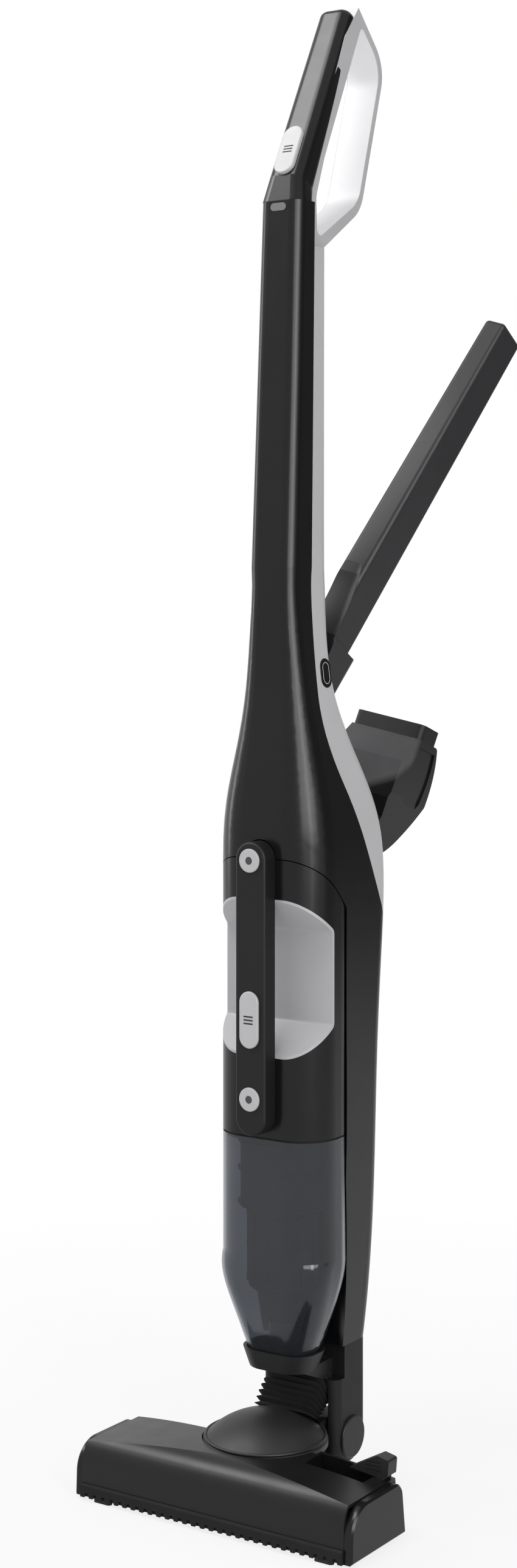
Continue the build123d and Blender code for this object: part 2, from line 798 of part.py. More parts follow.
# Ribbed hose that bends with the recline joint, drawn round the hinge axis
hose_start = 108
hose_end = 148
hose_ribs = 7
rib_step = (hose_end - hose_start) / (2 * hose_ribs)


def hose_point(angle, radius):
    turn = math.radians(angle)
    return (hinge_y + radius * math.cos(turn), hinge_z + radius * math.sin(turn))


with BuildPart() as suction_hose:
    crests = [hose_point(hose_start + rib_step * step, 58 if step % 2 else 53) for step in range(2 * hose_ribs + 1)]
    floor = [hose_point(angle, 30) for angle in (hose_end, (hose_start + hose_end) / 2, hose_start)]
    with BuildSketch(Plane.YZ.offset(-tongue_half - 2)):
        with BuildLine():
            Polyline(*crests, *floor, crests[0])
        make_face()
    extrude(amount=2 * tongue_half + 4)
    inner = [hose_point(angle, 50) for angle in (hose_start - 9, 128, hose_end + 9)]
    inner += [hose_point(angle, 33) for angle in (hose_end + 9, 128, hose_start - 9)]
    with BuildSketch(Plane.YZ.offset(-tongue_half + 1)):
        with BuildLine():
            Polyline(*inner, inner[0])
        make_face()
    extrude(amount=2 * tongue_half - 2, mode=Mode.SUBTRACT)
    add(swivel_dome.part, mode=Mode.SUBTRACT)
    add(swivel_yoke.part, mode=Mode.SUBTRACT)
    add(foot.part, mode=Mode.SUBTRACT)
    add(nose_seat.part, mode=Mode.SUBTRACT)
finish(suction_hose, "suction_hose")

# ---------------------------------------------------------------- handle

lean = math.radians(bar_lean)
bar_up = Vector(0, math.sin(lean), math.cos(lean))
bar_in = Vector(0, math.cos(lean), -math.sin(lean))
bar_root = Vector(0, 17.5, stick_top + 8)


def bar_plane(along, depth):
    return Plane(bar_root + bar_up * along + bar_in * depth, x_dir=(1, 0, 0), z_dir=bar_up)


def bar_section(along, width, depth):
    with BuildSketch(bar_plane(along, depth / 2)) as outline:
        RectangleRounded(width, depth, 9)
    return outline.sketch


with BuildPart() as handle_grip:
    loft(
        [
            rounded_section(stick_top, half_stick - 1, 18, grey_front_top, 9, 6),
            bar_section(14, bar_width, bar_depth),
            bar_section(bar_length - 12, bar_tip_width, bar_tip_depth),
        ],
        ruled=True,
    )
    fillet(handle_grip.faces().sort_by(Axis.Z)[-1].edges(), 6)
    with BuildSketch(bar_plane(switch_centre, 0)):
        with Locations((0, 0)):
            Rectangle(6 + 2 * fit_gap, 5, align=(Align.CENTER, Align.MIN))
    extrude(amount=(switch_length - 20 + switch_travel) / 2 + fit_gap, both=True, mode=Mode.SUBTRACT)
finish(handle_grip, "handle_grip")

with BuildPart() as indicator_lens:
    with BuildSketch(Plane.XZ.offset(-30)):
        with Locations((0, lens_height)):
            SlotOverall(14, 6)
    extrude(amount=30 - 17.2)
finish(indicator_lens, "indicator_lens")

# Sliding switch on the front of the bar, on a stem in a slot
with BuildPart() as handle_switch:
    with BuildSketch(Plane(bar_root + bar_up * switch_centre - bar_in * 0.15, x_dir=(1, 0, 0), z_dir=-bar_in)):
        SlotOverall(switch_length, switch_width, rotation=90)
    extrude(amount=3)
    fillet(handle_switch.faces().sort_by(Axis((0, 0, 0), bar_in))[0].edges(), 1.2)
    with BuildSketch(bar_plane(switch_centre, 0)):
        with Locations((0, -1)):
            Rectangle(6, 5, align=(Align.CENTER, Align.MIN))
    extrude(amount=(switch_length - 20) / 2, both=True)
finish(handle_switch, "handle_switch")

with BuildPart() as handle_loop:
    with BuildSketch(Plane.YZ):
        with BuildLine():
            FilletPolyline(
                (30, 958),
                (57, 958),
                (113, 995),
                (149.6, 1116),
                (110, 1156),
                radius=[4, 34, 32],
            )
            Polyline((110, 1156), (90, 1130), (30, 1000), (30, 958))
        make_face()
        with BuildLine():
            FilletPolyline(
                (60, 1030),
                (48, 998),
                (49.5, 964.5),
                (109.5, 1001),
                (143.6, 1114),
                (114.5, 1143),
                (60, 1030),
                radius=[20, 20, 5, 30, 28, 4],
            )
        make_face(mode=Mode.SUBTRACT)
    extrude(amount=loop_width / 2, both=True)
    with Locations((0, grey_front_top, stick_top)):
        Box(400, 200, 200, align=(Align.CENTER, Align.MAX, Align.MAX), mode=Mode.SUBTRACT)
    add(handle_grip.part, mode=Mode.SUBTRACT)
finish(handle_loop, "handle_loop")

# ---------------------------------------------------------------- handheld vacuum

def pocket_outline(grow):
    with BuildSketch(Plane.YZ) as outline:
        with BuildLine():
            FilletPolyline(
                (strip_front - 30, pocket_top + 20 + grow),
                (body_front, pocket_top + grow),
                (body_front + pocket_depth + grow, pocket_top - pocket_slope + grow * 0.6),
                (body_front + pocket_depth + grow, pocket_bottom + pocket_slope - grow * 0.6),
                (body_front, pocket_bottom - grow),
                (strip_front - 30, pocket_bottom - 20 - grow),
                radius=[1, 4 + grow, 4 + grow, 1],
            )
            Line((strip_front - 30, pocket_bottom - 20 - grow), (strip_front - 30, pocket_top + 20 + grow))
        make_face()
    return outline.sketch


battery_middle = (pocket_top + pocket_bottom) / 2 - 12
battery_height = (cell_count - 1) * cell_pitch + 2 * cell_radius
chamber_top = container_top + 3 + fan_thickness + 9
motor_bottom = chamber_top
with BuildPart() as handheld_form:
    extrude(hand_section(container_top, 0), amount=300)
    extrude(hand_outline(0), amount=body_width, both=True, mode=Mode.INTERSECT)

with BuildPart() as handheld_housing:
    add(handheld_form.part)
    extrude(pocket_outline(liner_thickness), amount=body_width, both=True, mode=Mode.SUBTRACT)
    # Battery bay, motor bay, fan chamber and its inlet
    with Locations((0, cell_y, battery_middle)):
        Box(cell_length + 3, 2 * cell_radius + 1.2, battery_height + 1.2, mode=Mode.SUBTRACT)
    with Locations((0, fan_y, motor_bottom)):
        Cylinder(
            fan_motor_radius,
            fan_motor_length,
            align=(Align.CENTER, Align.CENTER, Align.MIN),
            mode=Mode.SUBTRACT,
        )
    with Locations((0, fan_y, container_top + 3)):
        Cylinder(
            fan_radius + 1,
            chamber_top - container_top - 3,
            align=(Align.CENTER, Align.CENTER, Align.MIN),
            mode=Mode.SUBTRACT,
        )
    with Locations((0, fan_y, container_top)):
        Cylinder(14, 8, mode=Mode.SUBTRACT)
    # Exhaust opening to the rear, behind its grille
    with Locations((0, hand_rear, container_top + 30)):
        Box(36, 4, 44, mode=Mode.SUBTRACT)
        Box(30, 14, 38, mode=Mode.SUBTRACT)
    # Seats of the two charging contacts
    with Locations((0, hand_rear, contact_height)):
        with GridLocations(contact_spread, 1, 2, 1):
            Box(5, 6, 9, mode=Mode.SUBTRACT)
finish(handheld_housing, "handheld_housing")

with BuildPart() as grip_liner:
    extrude(pocket_outline(liner_thickness), amount=body_width, both=True)
    extrude(pocket_outline(0), amount=body_width, both=True, mode=Mode.SUBTRACT)
    add(handheld_form.part, mode=Mode.INTERSECT)
finish(grip_liner, "grip_liner")

strip_height = strip_top - strip_bottom
strip_middle = (strip_top + strip_bottom) / 2
ring_recess = 6.5
with BuildPart() as grip_strip:
    with BuildSketch(Plane.XZ.offset(-strip_front)):
        with Locations((0, strip_middle)):
            SlotOverall(strip_height, strip_width, rotation=90)
    extrude(amount=strip_front - body_front)
    fillet(grip_strip.faces().sort_by(Axis.Y)[0].edges(), 2)
    # Tongue over the top of the housing
    with BuildSketch(Plane.XZ.offset(-body_front)):
        with Locations((0, strip_top - strip_width / 2)):
            Circle(strip_width / 2)
        with Locations((0, hand_top - 40)):
            Rectangle(strip_width, strip_top - strip_width / 2 - hand_top + 40, align=(Align.CENTER, Align.MIN))
    extrude(amount=-(tongue_depth + strip_front - body_front))
    add(handheld_form.part, mode=Mode.SUBTRACT)
    for height in (ring_top_height, ring_low_height):
        with Locations(Location((0, strip_front, height), (90, 0, 0))):
            Cylinder(ring_radius + fit_gap, 2 * ring_recess, mode=Mode.SUBTRACT)
    with Locations((0, strip_front, slide_height)):
        Box(6 + 2 * fit_gap, 10, slide_length - 15 + slide_travel, mode=Mode.SUBTRACT)
finish(grip_strip, "grip_strip")

for height, label in ((ring_top_height, "release_button"), (ring_low_height, "bin_button")):
    with BuildPart() as push_button:
        with BuildSketch(Plane.XZ.offset(-strip_front + 1.5)):
            with Locations((0, height)):
                Circle(ring_radius)
        extrude(amount=-1.5 - ring_recess + button_travel + 0.3)
        front_face = push_button.faces().sort_by(Axis.Y)[0]
        fillet(front_face.edges(), 0.8)
        with Locations(Location((0, strip_front - 1.5, height), (90, 0, 0))):
            Cylinder(3, 2.4, mode=Mode.SUBTRACT)
    finish(push_button, label)

with BuildPart() as hand_switch:
    with BuildSketch(Plane.XZ.offset(-strip_front + 0.15)):
        with Locations((0, slide_height)):
            SlotOverall(slide_length, slide_width, rotation=90)
    extrude(amount=2)
    fillet(hand_switch.faces().sort_by(Axis.Y)[0].edges(), 1.2)
    with Locations((0, strip_front - 0.15, slide_height)):
        Box(6, 4, slide_length - 15 - 2 * fit_gap, align=(Align.CENTER, Align.MIN, Align.CENTER))
finish(hand_switch, "hand_switch")

with BuildPart() as battery_cells:
    with BuildSketch(Plane.YZ.offset(-cell_length / 2)):
        with Locations((cell_y, battery_middle)):
            with GridLocations(1, cell_pitch, 1, cell_count):
                Circle(cell_radius)
    extrude(amount=cell_length)
    # Nickel strips that join the cells
    for side in (-1, 1):
        with Locations((side * (cell_length / 2 + 0.25), cell_y, battery_middle)):
            Box(0.5, 8, battery_height - cell_radius)
finish(battery_cells, "battery_cells")

with BuildPart() as fan_motor:
    with BuildSketch(Plane.XY.offset(motor_bottom)):
        with Locations((0, fan_y)):
            Circle(fan_motor_radius)
    extrude(amount=fan_motor_length)
    with BuildSketch(Plane.XY.offset(motor_bottom)):
        with Locations((0, fan_y)):
            Circle(2 + fit_gap)
    extrude(amount=14, mode=Mode.SUBTRACT)
finish(fan_motor, "fan_motor")

with BuildPart() as fan:
    with BuildSketch(Plane.XY.offset(container_top + 5)):
        with Locations((0, fan_y)):
            Circle(fan_radius)
    extrude(amount=1.5)
    with BuildSketch(Plane.XY.offset(container_top + 6.5)):
        with Locations((0, fan_y)):
            with PolarLocations(16, 9):
                Rectangle(20, 1.2, rotation=35)
            Circle(6)
    extrude(amount=fan_thickness - 1.5)
    with BuildSketch(Plane.XY.offset(container_top + 6.5)):
        with Locations((0, fan_y)):
            Circle(2)
    extrude(amount=motor_bottom - container_top - 6.5 + 12)
finish(fan, "fan")

with BuildPart() as exhaust_grille:
    with Locations((0, hand_rear, container_top + 30)):
        Box(36, 2, 44, align=(Align.CENTER, Align.MAX, Align.CENTER))
    with BuildSketch(Plane.XZ.offset(-hand_rear)):
        with Locations((0, container_top + 30)):
            with GridLocations(5.5, 1, 6, 1):
                SlotOverall(38, 3, rotation=90)
    extrude(amount=4, mode=Mode.SUBTRACT)
finish(exhaust_grille, "exhaust_grille")

with BuildPart() as charge_contacts:
    with Locations((0, hand_rear, contact_height)):
        with GridLocations(contact_spread, 1, 2, 1):
            Box(5, 3, 9, align=(Align.CENTER, Align.MAX, Align.CENTER))
finish(charge_contacts, "charge_contacts")

tube_top = 132
container_rim = container_top - seal_thickness
with BuildPart() as dust_container:
    add(nose_form(0, container_rim))
    add(nose_form(container_wall, container_rim + 5), mode=Mode.SUBTRACT)
    with BuildSketch(Plane.XY.offset(container_bottom + 1)):
        with Locations((0, seal_y)):
            Circle(inlet_radius + 2)
    extrude(amount=tube_top - container_bottom - 1)
    with Locations((0, seal_y, container_bottom)):
        Cylinder(inlet_radius, 200, mode=Mode.SUBTRACT)
finish(dust_container, "dust_container")

with BuildPart() as container_seal:
    extrude(hand_section(container_rim, 0.8), amount=seal_thickness)
    extrude(hand_section(container_rim, container_wall), amount=seal_thickness, mode=Mode.SUBTRACT)
finish(container_seal, "container_seal")

flap_hinge_y = seal_y + inlet_radius + 1
flap_barrel = 0.9
with BuildPart() as inlet_flap:
    with BuildSketch(Plane.XY.offset(tube_top + 0.2)):
        with Locations((0, seal_y)):
            Circle(inlet_radius + 1.6)
        with Locations((0, flap_hinge_y - 4)):
            Rectangle(10, 5.5, align=(Align.CENTER, Align.MIN))
    extrude(amount=1.2)
    with Locations(Location((0, flap_hinge_y + 1.5, tube_top + 0.2 + flap_barrel), (0, 90, 0))):
        Cylinder(flap_barrel, 10)
finish(inlet_flap, "inlet_flap")

# Filter holder hung from the housing: plate, oval upper part and round lower part
with BuildPart() as mesh_filter:
    extrude(hand_section(container_top - 4, container_wall + 0.4), amount=4)
    with BuildSketch(Plane.XY.offset(container_top - mesh_height)):
        with Locations((0, fan_y)):
            SlotOverall(2 * mesh_radius, mesh_depth)
    extrude(amount=mesh_height - 4)
    with BuildSketch(Plane.XY.offset(container_top - mesh_height)):
        with Locations((0, fan_y)):
            Circle(filter_radius)
    extrude(amount=-filter_height)
    fillet(mesh_filter.faces().sort_by(Axis.Z)[0].edges(), 4)
    with BuildSketch(Plane.XY.offset(container_top)):
        with Locations((0, fan_y)):
            SlotOverall(2 * mesh_radius - 4, mesh_depth - 4)
    extrude(amount=-mesh_height + 2, mode=Mode.SUBTRACT)
    with BuildSketch(Plane.XY.offset(container_top)):
        with Locations((0, fan_y)):
            Circle(filter_radius - 2)
    extrude(amount=-mesh_height - filter_height + 2, mode=Mode.SUBTRACT)
finish(mesh_filter, "mesh_filter")

pleats = 20
with BuildPart() as pleated_filter:
    pleat_points = []
    for step in range(2 * pleats):
        turn = math.pi * step / pleats
        radius = filter_radius - 3 if step % 2 else filter_radius - 9
        pleat_points.append((radius * math.cos(turn), fan_y + radius * math.sin(turn)))
    with BuildSketch(Plane.XY.offset(container_top - mesh_height + 4)):
        with BuildLine():
            Polyline(*pleat_points, pleat_points[0])
        make_face()
        with Locations((0, fan_y)):
            Circle(filter_radius - 11, mode=Mode.SUBTRACT)
    extrude(amount=mesh_height - 8)
finish(pleated_filter, "pleated_filter")

# ---------------------------------------------------------------- tools on the back

swing_axis = Vector(math.cos(math.radians(swing)), -math.sin(math.radians(swing)), 0)
swing_way = Vector(math.sin(math.radians(swing)), math.cos(math.radians(swing)), 0)


def leaned(direction, degrees):
    return Vector(direction).rotate(Axis((0, 0, 0), swing_axis), -degrees)


def tool_plane(pivot, degrees, height, shift=0):
    upward = leaned((0, 0, 1), degrees)
    outward = leaned((0, 1, 0), degrees)
    return Plane(Vector(pivot) + upward * height + outward * shift, x_dir=leaned((1, 0, 0), degrees), z_dir=upward)


def tool_section(pivot, degrees, height, width, depth, corner):
    with BuildSketch(tool_plane(pivot, degrees, height)) as outline:
        RectangleRounded(width, depth, corner)
    return outline.sketch


crevice_pivot = (0, crevice_y, crevice_z)
crevice_base = (0, crevice_y - crevice_set, crevice_z)
with BuildPart() as crevice_tool:
    loft([
        tool_section(crevice_base, crevice_lean, -collar_tail, crevice_root_width, crevice_root_depth, 4),
        tool_section(crevice_base, crevice_lean, crevice_reach, crevice_tip_width, crevice_tip_depth, 4),
    ])
    fillet(crevice_tool.faces().sort_by(Axis(crevice_base, leaned((0, 0, 1), crevice_lean)))[-1].edges(), 3.5)
    # Socket collar that stands out to the rear
    collar_depth = crevice_root_depth + collar_step
    with BuildSketch(tool_plane(crevice_base, crevice_lean, -collar_tail, collar_step / 2)):
        RectangleRounded(collar_width, collar_depth, 5)
    extrude(amount=collar_tail + collar_height)
    with BuildSketch(tool_plane(crevice_base, crevice_lean, crevice_reach)):
        RectangleRounded(crevice_tip_width - 5, crevice_tip_depth - 5, 2)
    extrude(amount=-30, mode=Mode.SUBTRACT)
    # The stick's own form, a little behind itself, at rest and as the tool folds in
    for step in range(7):
        shifted = body_envelope.part.moved(Location((0, 0.6, 0)))
        add(shifted.rotate(Axis(crevice_pivot, swing_axis), -crevice_fold * 1.03 * step / 6), mode=Mode.SUBTRACT)
    # Slot for the bracket's lug
    slot_start = Vector(crevice_pivot) - swing_axis * (lug_thickness / 2 + part_gap)
    with BuildSketch(Plane(slot_start, x_dir=swing_way, z_dir=swing_axis)):
        Circle(7)
        for step in range(4):
            turn = -crevice_fold * 1.03 * step / 3
            Rectangle(45, 14, rotation=turn, align=(Align.MAX, Align.CENTER))
    extrude(amount=lug_thickness + 2 * part_gap, mode=Mode.SUBTRACT)
    with BuildSketch(Plane(crevice_pivot, x_dir=swing_way, z_dir=swing_axis)):
        Circle(2 + fit_gap)
    extrude(amount=40, both=True, mode=Mode.SUBTRACT)
finish(crevice_tool, "crevice_tool")

upholstery_pivot = (0, upholstery_y, upholstery_z)
folded = tool_plane(upholstery_pivot, upholstery_lean, 0)
tool_side = Plane(upholstery_pivot, x_dir=folded.y_dir, z_dir=folded.x_dir)
mouth_bottom = upholstery_height - mouth_height
mouth_front = mouth_shift - mouth_depth / 2
mouth_rear = mouth_shift + mouth_depth / 2


with BuildPart() as upholstery_nozzle:
    # Side form, drawn round the pivot: straight front and a back that bulges to the rear
    with BuildSketch(tool_side):
        with BuildLine():
            Polyline((mouth_rear + 2.4, mouth_bottom), (mouth_front, mouth_bottom), (-12, 88), (-12, 9), (14, 9))
            Spline(
                (14, 9),
                (31, 21),
                (40.5, 42),
                (44.5, 66),
                (42.5, 90),
                (mouth_rear + 2.4, mouth_bottom),
            )
        make_face()
    extrude(amount=upholstery_width / 2, both=True)
    with BuildSketch(Plane(upholstery_pivot, x_dir=folded.x_dir, z_dir=-folded.y_dir)):
        with BuildLine():
            Polyline(
                (-upholstery_width / 2, upholstery_height),
                (-upholstery_width / 2, 62),
                (-upholstery_width / 2 + 9, 34),
                (-17, 9),
                (17, 9),
                (upholstery_width / 2 - 9, 34),
                (upholstery_width / 2, 62),
                (upholstery_width / 2, upholstery_height),
                (-upholstery_width / 2, upholstery_height),
            )
        make_face()
    extrude(amount=80, both=True, mode=Mode.INTERSECT)
    rear_edges = upholstery_nozzle.faces().sort_by(Axis(upholstery_pivot, folded.y_dir))[-1].edges()
    fillet(rear_edges, 4)
    # Relief on both sides, within a rim along the back
    for side in (-1, 1):
        with BuildSketch(tool_side.offset(side * (upholstery_width / 2 - relief_depth))):
            with BuildLine():
                Line((mouth_front + 5, mouth_bottom - 6), (4, 70))
                ThreePointArc((4, 70), (16, 56), (33, 58))
                ThreePointArc((33, 58), (36.5, 84), (34, mouth_bottom - 6))
                Line((34, mouth_bottom - 6), (mouth_front + 5, mouth_bottom - 6))
            make_face()
        extrude(amount=2 * side * relief_depth, mode=Mode.SUBTRACT)
    with BuildSketch(tool_plane(upholstery_pivot, upholstery_lean, 9)):
        Circle(12.5)
    extrude(amount=-23)
    with Locations((0, body_rear + 1.5, 0)):
        Box(200, 200, 2 * upholstery_z + 60, align=(Align.CENTER, Align.MAX, Align.CENTER), mode=Mode.SUBTRACT)
    # Hollowed side that lies against the shell when the tool is folded in
    with BuildSketch(tool_side):
        with BuildLine():
            Polyline((-40, -20), (-3.8, -20), (-3.8, 42), (-18, 68), (-40, 68), (-40, -20))
        make_face()
    extrude(amount=60, both=True, mode=Mode.SUBTRACT)
    with BuildSketch(Plane(upholstery_pivot, x_dir=swing_way, z_dir=swing_axis)):
        Circle(2 + fit_gap)
    extrude(amount=40, both=True, mode=Mode.SUBTRACT)
finish(upholstery_nozzle, "upholstery_nozzle")

with BuildPart() as upholstery_mouth:
    with BuildSketch(tool_plane(upholstery_pivot, upholstery_lean, mouth_bottom, mouth_shift)):
        RectangleRounded(upholstery_width, mouth_depth, 5)
    extrude(amount=mouth_height)
    with BuildSketch(tool_plane(upholstery_pivot, upholstery_lean, upholstery_height, mouth_shift)):
        RectangleRounded(upholstery_width - 8, mouth_depth - 10, 4)
    extrude(amount=-8, mode=Mode.SUBTRACT)
finish(upholstery_mouth, "upholstery_mouth")


def bracket_part(pivot, starts, thickness, pin_half):
    with BuildPart() as bracket:
        for start in starts:
            with BuildSketch(Plane(Vector(pivot) + swing_axis * start, x_dir=swing_way, z_dir=swing_axis)):
                Circle(6.5)
                with Locations((-14, 0)):
                    Rectangle(28, 13)
            extrude(amount=thickness)
        with BuildSketch(Plane(Vector(pivot) - swing_axis * pin_half, x_dir=swing_way, z_dir=swing_axis)):
            Circle(2)
        extrude(amount=2 * pin_half)
        add(body_envelope.part, mode=Mode.SUBTRACT)
    return bracket


finish(bracket_part(crevice_pivot, [-lug_thickness / 2], lug_thickness, 12), "crevice_bracket")
finish(bracket_part(upholstery_pivot, [13.3, -13.3 - ear_thickness], ear_thickness, 16), "upholstery_bracket")
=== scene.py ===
import json
import math
import bpy
import bmesh
from mathutils import Matrix, Vector
from mathutils.bvhtree import BVHTree


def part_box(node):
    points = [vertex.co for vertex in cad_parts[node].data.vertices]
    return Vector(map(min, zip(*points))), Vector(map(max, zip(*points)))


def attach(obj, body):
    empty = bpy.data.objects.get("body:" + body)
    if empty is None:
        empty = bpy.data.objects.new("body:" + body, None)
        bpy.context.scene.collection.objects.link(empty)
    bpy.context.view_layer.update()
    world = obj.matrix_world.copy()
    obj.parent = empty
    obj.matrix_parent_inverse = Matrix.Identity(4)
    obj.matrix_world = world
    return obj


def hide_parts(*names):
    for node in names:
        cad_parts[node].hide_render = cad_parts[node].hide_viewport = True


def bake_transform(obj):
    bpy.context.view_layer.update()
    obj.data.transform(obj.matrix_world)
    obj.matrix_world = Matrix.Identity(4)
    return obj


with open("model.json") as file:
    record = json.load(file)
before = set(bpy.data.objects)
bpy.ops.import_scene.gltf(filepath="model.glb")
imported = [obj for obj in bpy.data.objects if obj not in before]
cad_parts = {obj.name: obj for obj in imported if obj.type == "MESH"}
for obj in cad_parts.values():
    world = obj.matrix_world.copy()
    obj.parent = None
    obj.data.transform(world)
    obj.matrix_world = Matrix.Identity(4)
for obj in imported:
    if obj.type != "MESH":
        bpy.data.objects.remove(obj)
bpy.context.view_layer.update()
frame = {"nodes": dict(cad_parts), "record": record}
nodes = frame["nodes"]
mm = 0.001

# ---- camera, light and surroundings

studio = {
    "eye": (1.0304, -1.5109, 0.695),
    "view": (-0.5534, 0.8329, 0.0),
    "lens": 55.17,
    "shift": (-0.0229, -0.1254),
    "sensor": 36,
    "floorColour": (0.86, 0.86, 0.86, 1),
    "floorHalf": 6,
    "worldColour": (0.56, 0.56, 0.57, 1),
    # The floor's own glow near the object, and the reach over which it rises to plain white
    "glowNear": 0.82,
    "glowReach": (0.25, 0.9),
    "lamps": [
        # place, size across and up, watts, target, seen only in gloss
        ((-2.05, -0.35, 1.15), (0.28, 1.9), 12, (0.0, 0.03, 0.6), False),
        ((1.75, -0.95, 1.15), (0.3, 1.9), 11, (0.02, 0.03, 0.6), False),
        ((-0.3, -0.8, 2.5), (0.8, 0.5), 11, (0.0, 0.0, 0.5), False),
        ((1.8, -1.15, 1.1), (1.9, 1.4), 50, (0.0, 0.03, 0.6), True),
        ((-1.2, -0.75, 2.2), (0.7, 1.3), 34, (0.0, 0.0, 0.6), True),
    ],
    "darkCard": {"place": (1.54, 1.71, 0.9), "target": (0, 0.03, 0.8), "half": 1.75, "tone": 0.16},
}
white = (1, 1, 1, 1)
seenRays = ["Is Camera Ray", "Is Glossy Ray", "Is Transmission Ray"]


def lookFrom(place, target):
    return (Vector(target) - Vector(place)).to_track_quat("-Z", "Y").to_euler()


def seenDirectly(tree):
    # 1 for what the camera, gloss and clear plastic see, 0 for plain lighting
    path = tree.nodes.new("ShaderNodeLightPath")
    last = path.outputs[seenRays[0]]
    for ray in seenRays[1:]:
        either = tree.nodes.new("ShaderNodeMath")
        either.operation = "MAXIMUM"
        tree.links.new(last, either.inputs[0])
        tree.links.new(path.outputs[ray], either.inputs[1])
        last = either.outputs[0]
    return last


def makeCamera():
    camera = bpy.data.objects.new("camera", bpy.data.cameras.new("camera"))
    camera.location = studio["eye"]
    camera.rotation_euler = Vector(studio["view"]).to_track_quat("-Z", "Y").to_euler()
    camera.data.lens = studio["lens"]
    camera.data.sensor_width = studio["sensor"]
    camera.data.sensor_fit = "AUTO"
    camera.data.shift_x, camera.data.shift_y = studio["shift"]
    camera.data.clip_end = 50
    bpy.context.scene.collection.objects.link(camera)
    bpy.context.scene.camera = camera


def makeLights():
    for index, (place, size, watts, target, glossOnly) in enumerate(studio["lamps"]):
        lamp = bpy.data.lights.new(f"softLamp{index}", "AREA")
        lamp.shape = "RECTANGLE"
        lamp.size, lamp.size_y = size
        lamp.energy = watts
        holder = bpy.data.objects.new(f"softLamp{index}", lamp)
        holder.location = place
        holder.rotation_euler = lookFrom(place, target)
        holder.visible_camera = False
        holder.visible_diffuse = not glossOnly
        holder.visible_transmission = not glossOnly
        bpy.context.scene.collection.objects.link(holder)

    world = bpy.data.worlds.new("studioWorld")
    world.use_nodes = True
    bpy.context.scene.world = world
    tree = world.node_tree
    shown = tree.nodes["Background"]
    shown.inputs["Color"].default_value = white
    light = tree.nodes.new("ShaderNodeBackground")
    light.inputs["Color"].default_value = studio["worldColour"]
    mix = tree.nodes.new("ShaderNodeMixShader")
    tree.links.new(seenDirectly(tree), mix.inputs[0])
    tree.links.new(light.outputs[0], mix.inputs[1])
    tree.links.new(shown.outputs[0], mix.inputs[2])
    tree.links.new(mix.outputs[0], tree.nodes["World Output"].inputs[0])


def makeSheet(name, half, segments, finishName):
    # A flat square for the studio, with a material of its own
    form = bmesh.new()
    bmesh.ops.create_grid(form, x_segments=segments, y_segments=segments, size=half)
    mesh = bpy.data.meshes.new(name)
    form.to_mesh(mesh)
    form.free()
    sheet = bpy.data.objects.new(name, mesh)
    bpy.context.scene.collection.objects.link(sheet)
    finish = bpy.data.materials.new(finishName)
    finish.use_nodes = True
    mesh.materials.append(finish)
    return sheet, finish.node_tree


def makeFloor():
    floor, tree = makeSheet("studioFloor", studio["floorHalf"], 2, "paleFloor")
    body = tree.nodes["Principled BSDF"]
    body.inputs["Base Color"].default_value = studio["floorColour"]
    body.inputs["Roughness"].default_value = 0.9
    glow = tree.nodes.new("ShaderNodeEmission")
    glow.inputs["Color"].default_value = white
    # The floor turns plain white away from the object, so that it has no far edge
    spot = tree.nodes.new("ShaderNodeTexCoord")
    reach = tree.nodes.new("ShaderNodeVectorMath")
    reach.operation = "LENGTH"
    tree.links.new(spot.outputs["Object"], reach.inputs[0])
    fade = tree.nodes.new("ShaderNodeMapRange")
    fade.inputs["From Min"].default_value = studio["glowReach"][0]
    fade.inputs["From Max"].default_value = studio["glowReach"][1]
    fade.inputs["To Min"].default_value = studio["glowNear"]
    fade.inputs["To Max"].default_value = 1
    tree.links.new(reach.outputs["Value"], fade.inputs["Value"])
    share = tree.nodes.new("ShaderNodeMath")
    share.operation = "MULTIPLY"
    tree.links.new(seenDirectly(tree), share.inputs[0])
    tree.links.new(fade.outputs[0], share.inputs[1])
    mix = tree.nodes.new("ShaderNodeMixShader")
    tree.links.new(share.outputs[0], mix.inputs[0])
    tree.links.new(body.outputs[0], mix.inputs[1])
    tree.links.new(glow.outputs[0], mix.inputs[2])
    tree.links.new(mix.outputs[0], tree.nodes["Material Output"].inputs[0])


def makeDarkCard():
    # A dark card behind and to the right, met only by gloss, keeps the black flank black
    spec = studio["darkCard"]
    card, tree = makeSheet("darkCard", spec["half"], 1, "darkCard")
    card.location = spec["place"]
    card.rotation_euler = lookFrom(spec["place"], spec["target"])
    card.visible_camera = card.visible_diffuse = card.visible_transmission = card.visible_shadow = False
    glow = tree.nodes.new("ShaderNodeEmission")
    glow.inputs["Color"].default_value = (spec["tone"],) * 3 + (1,)
    tree.links.new(glow.outputs[0], tree.nodes["Material Output"].inputs[0])


makeCamera()
makeLights()
makeFloor()
makeDarkCard()
bpy.context.scene.view_settings.view_transform = "Standard"
print("studio ready")

# ---- finishes


def startFinish(name):
    finish = bpy.data.materials.new(name)
    finish.use_nodes = True
    tree = finish.node_tree
    return finish, tree, tree.nodes["Principled BSDF"], tree.nodes.new("ShaderNodeTexCoord")


def addNoise(tree, spot, scale, detail=3.0):
    noise = tree.nodes.new("ShaderNodeTexNoise")
    noise.inputs["Scale"].default_value = scale
    noise.inputs["Detail"].default_value = detail
    tree.links.new(spot.outputs["Object"], noise.inputs["Vector"])
    return noise.outputs["Fac"]


def addRamp(tree, source, low, high, start=0.3, end=0.7):
    ramp = tree.nodes.new("ShaderNodeValToRGB")
    ramp.color_ramp.elements[0].position = start
    ramp.color_ramp.elements[0].color = low
    ramp.color_ramp.elements[1].position = end
    ramp.color_ramp.elements[1].color = high
    tree.links.new(source, ramp.inputs[0])
    return ramp.outputs[0]


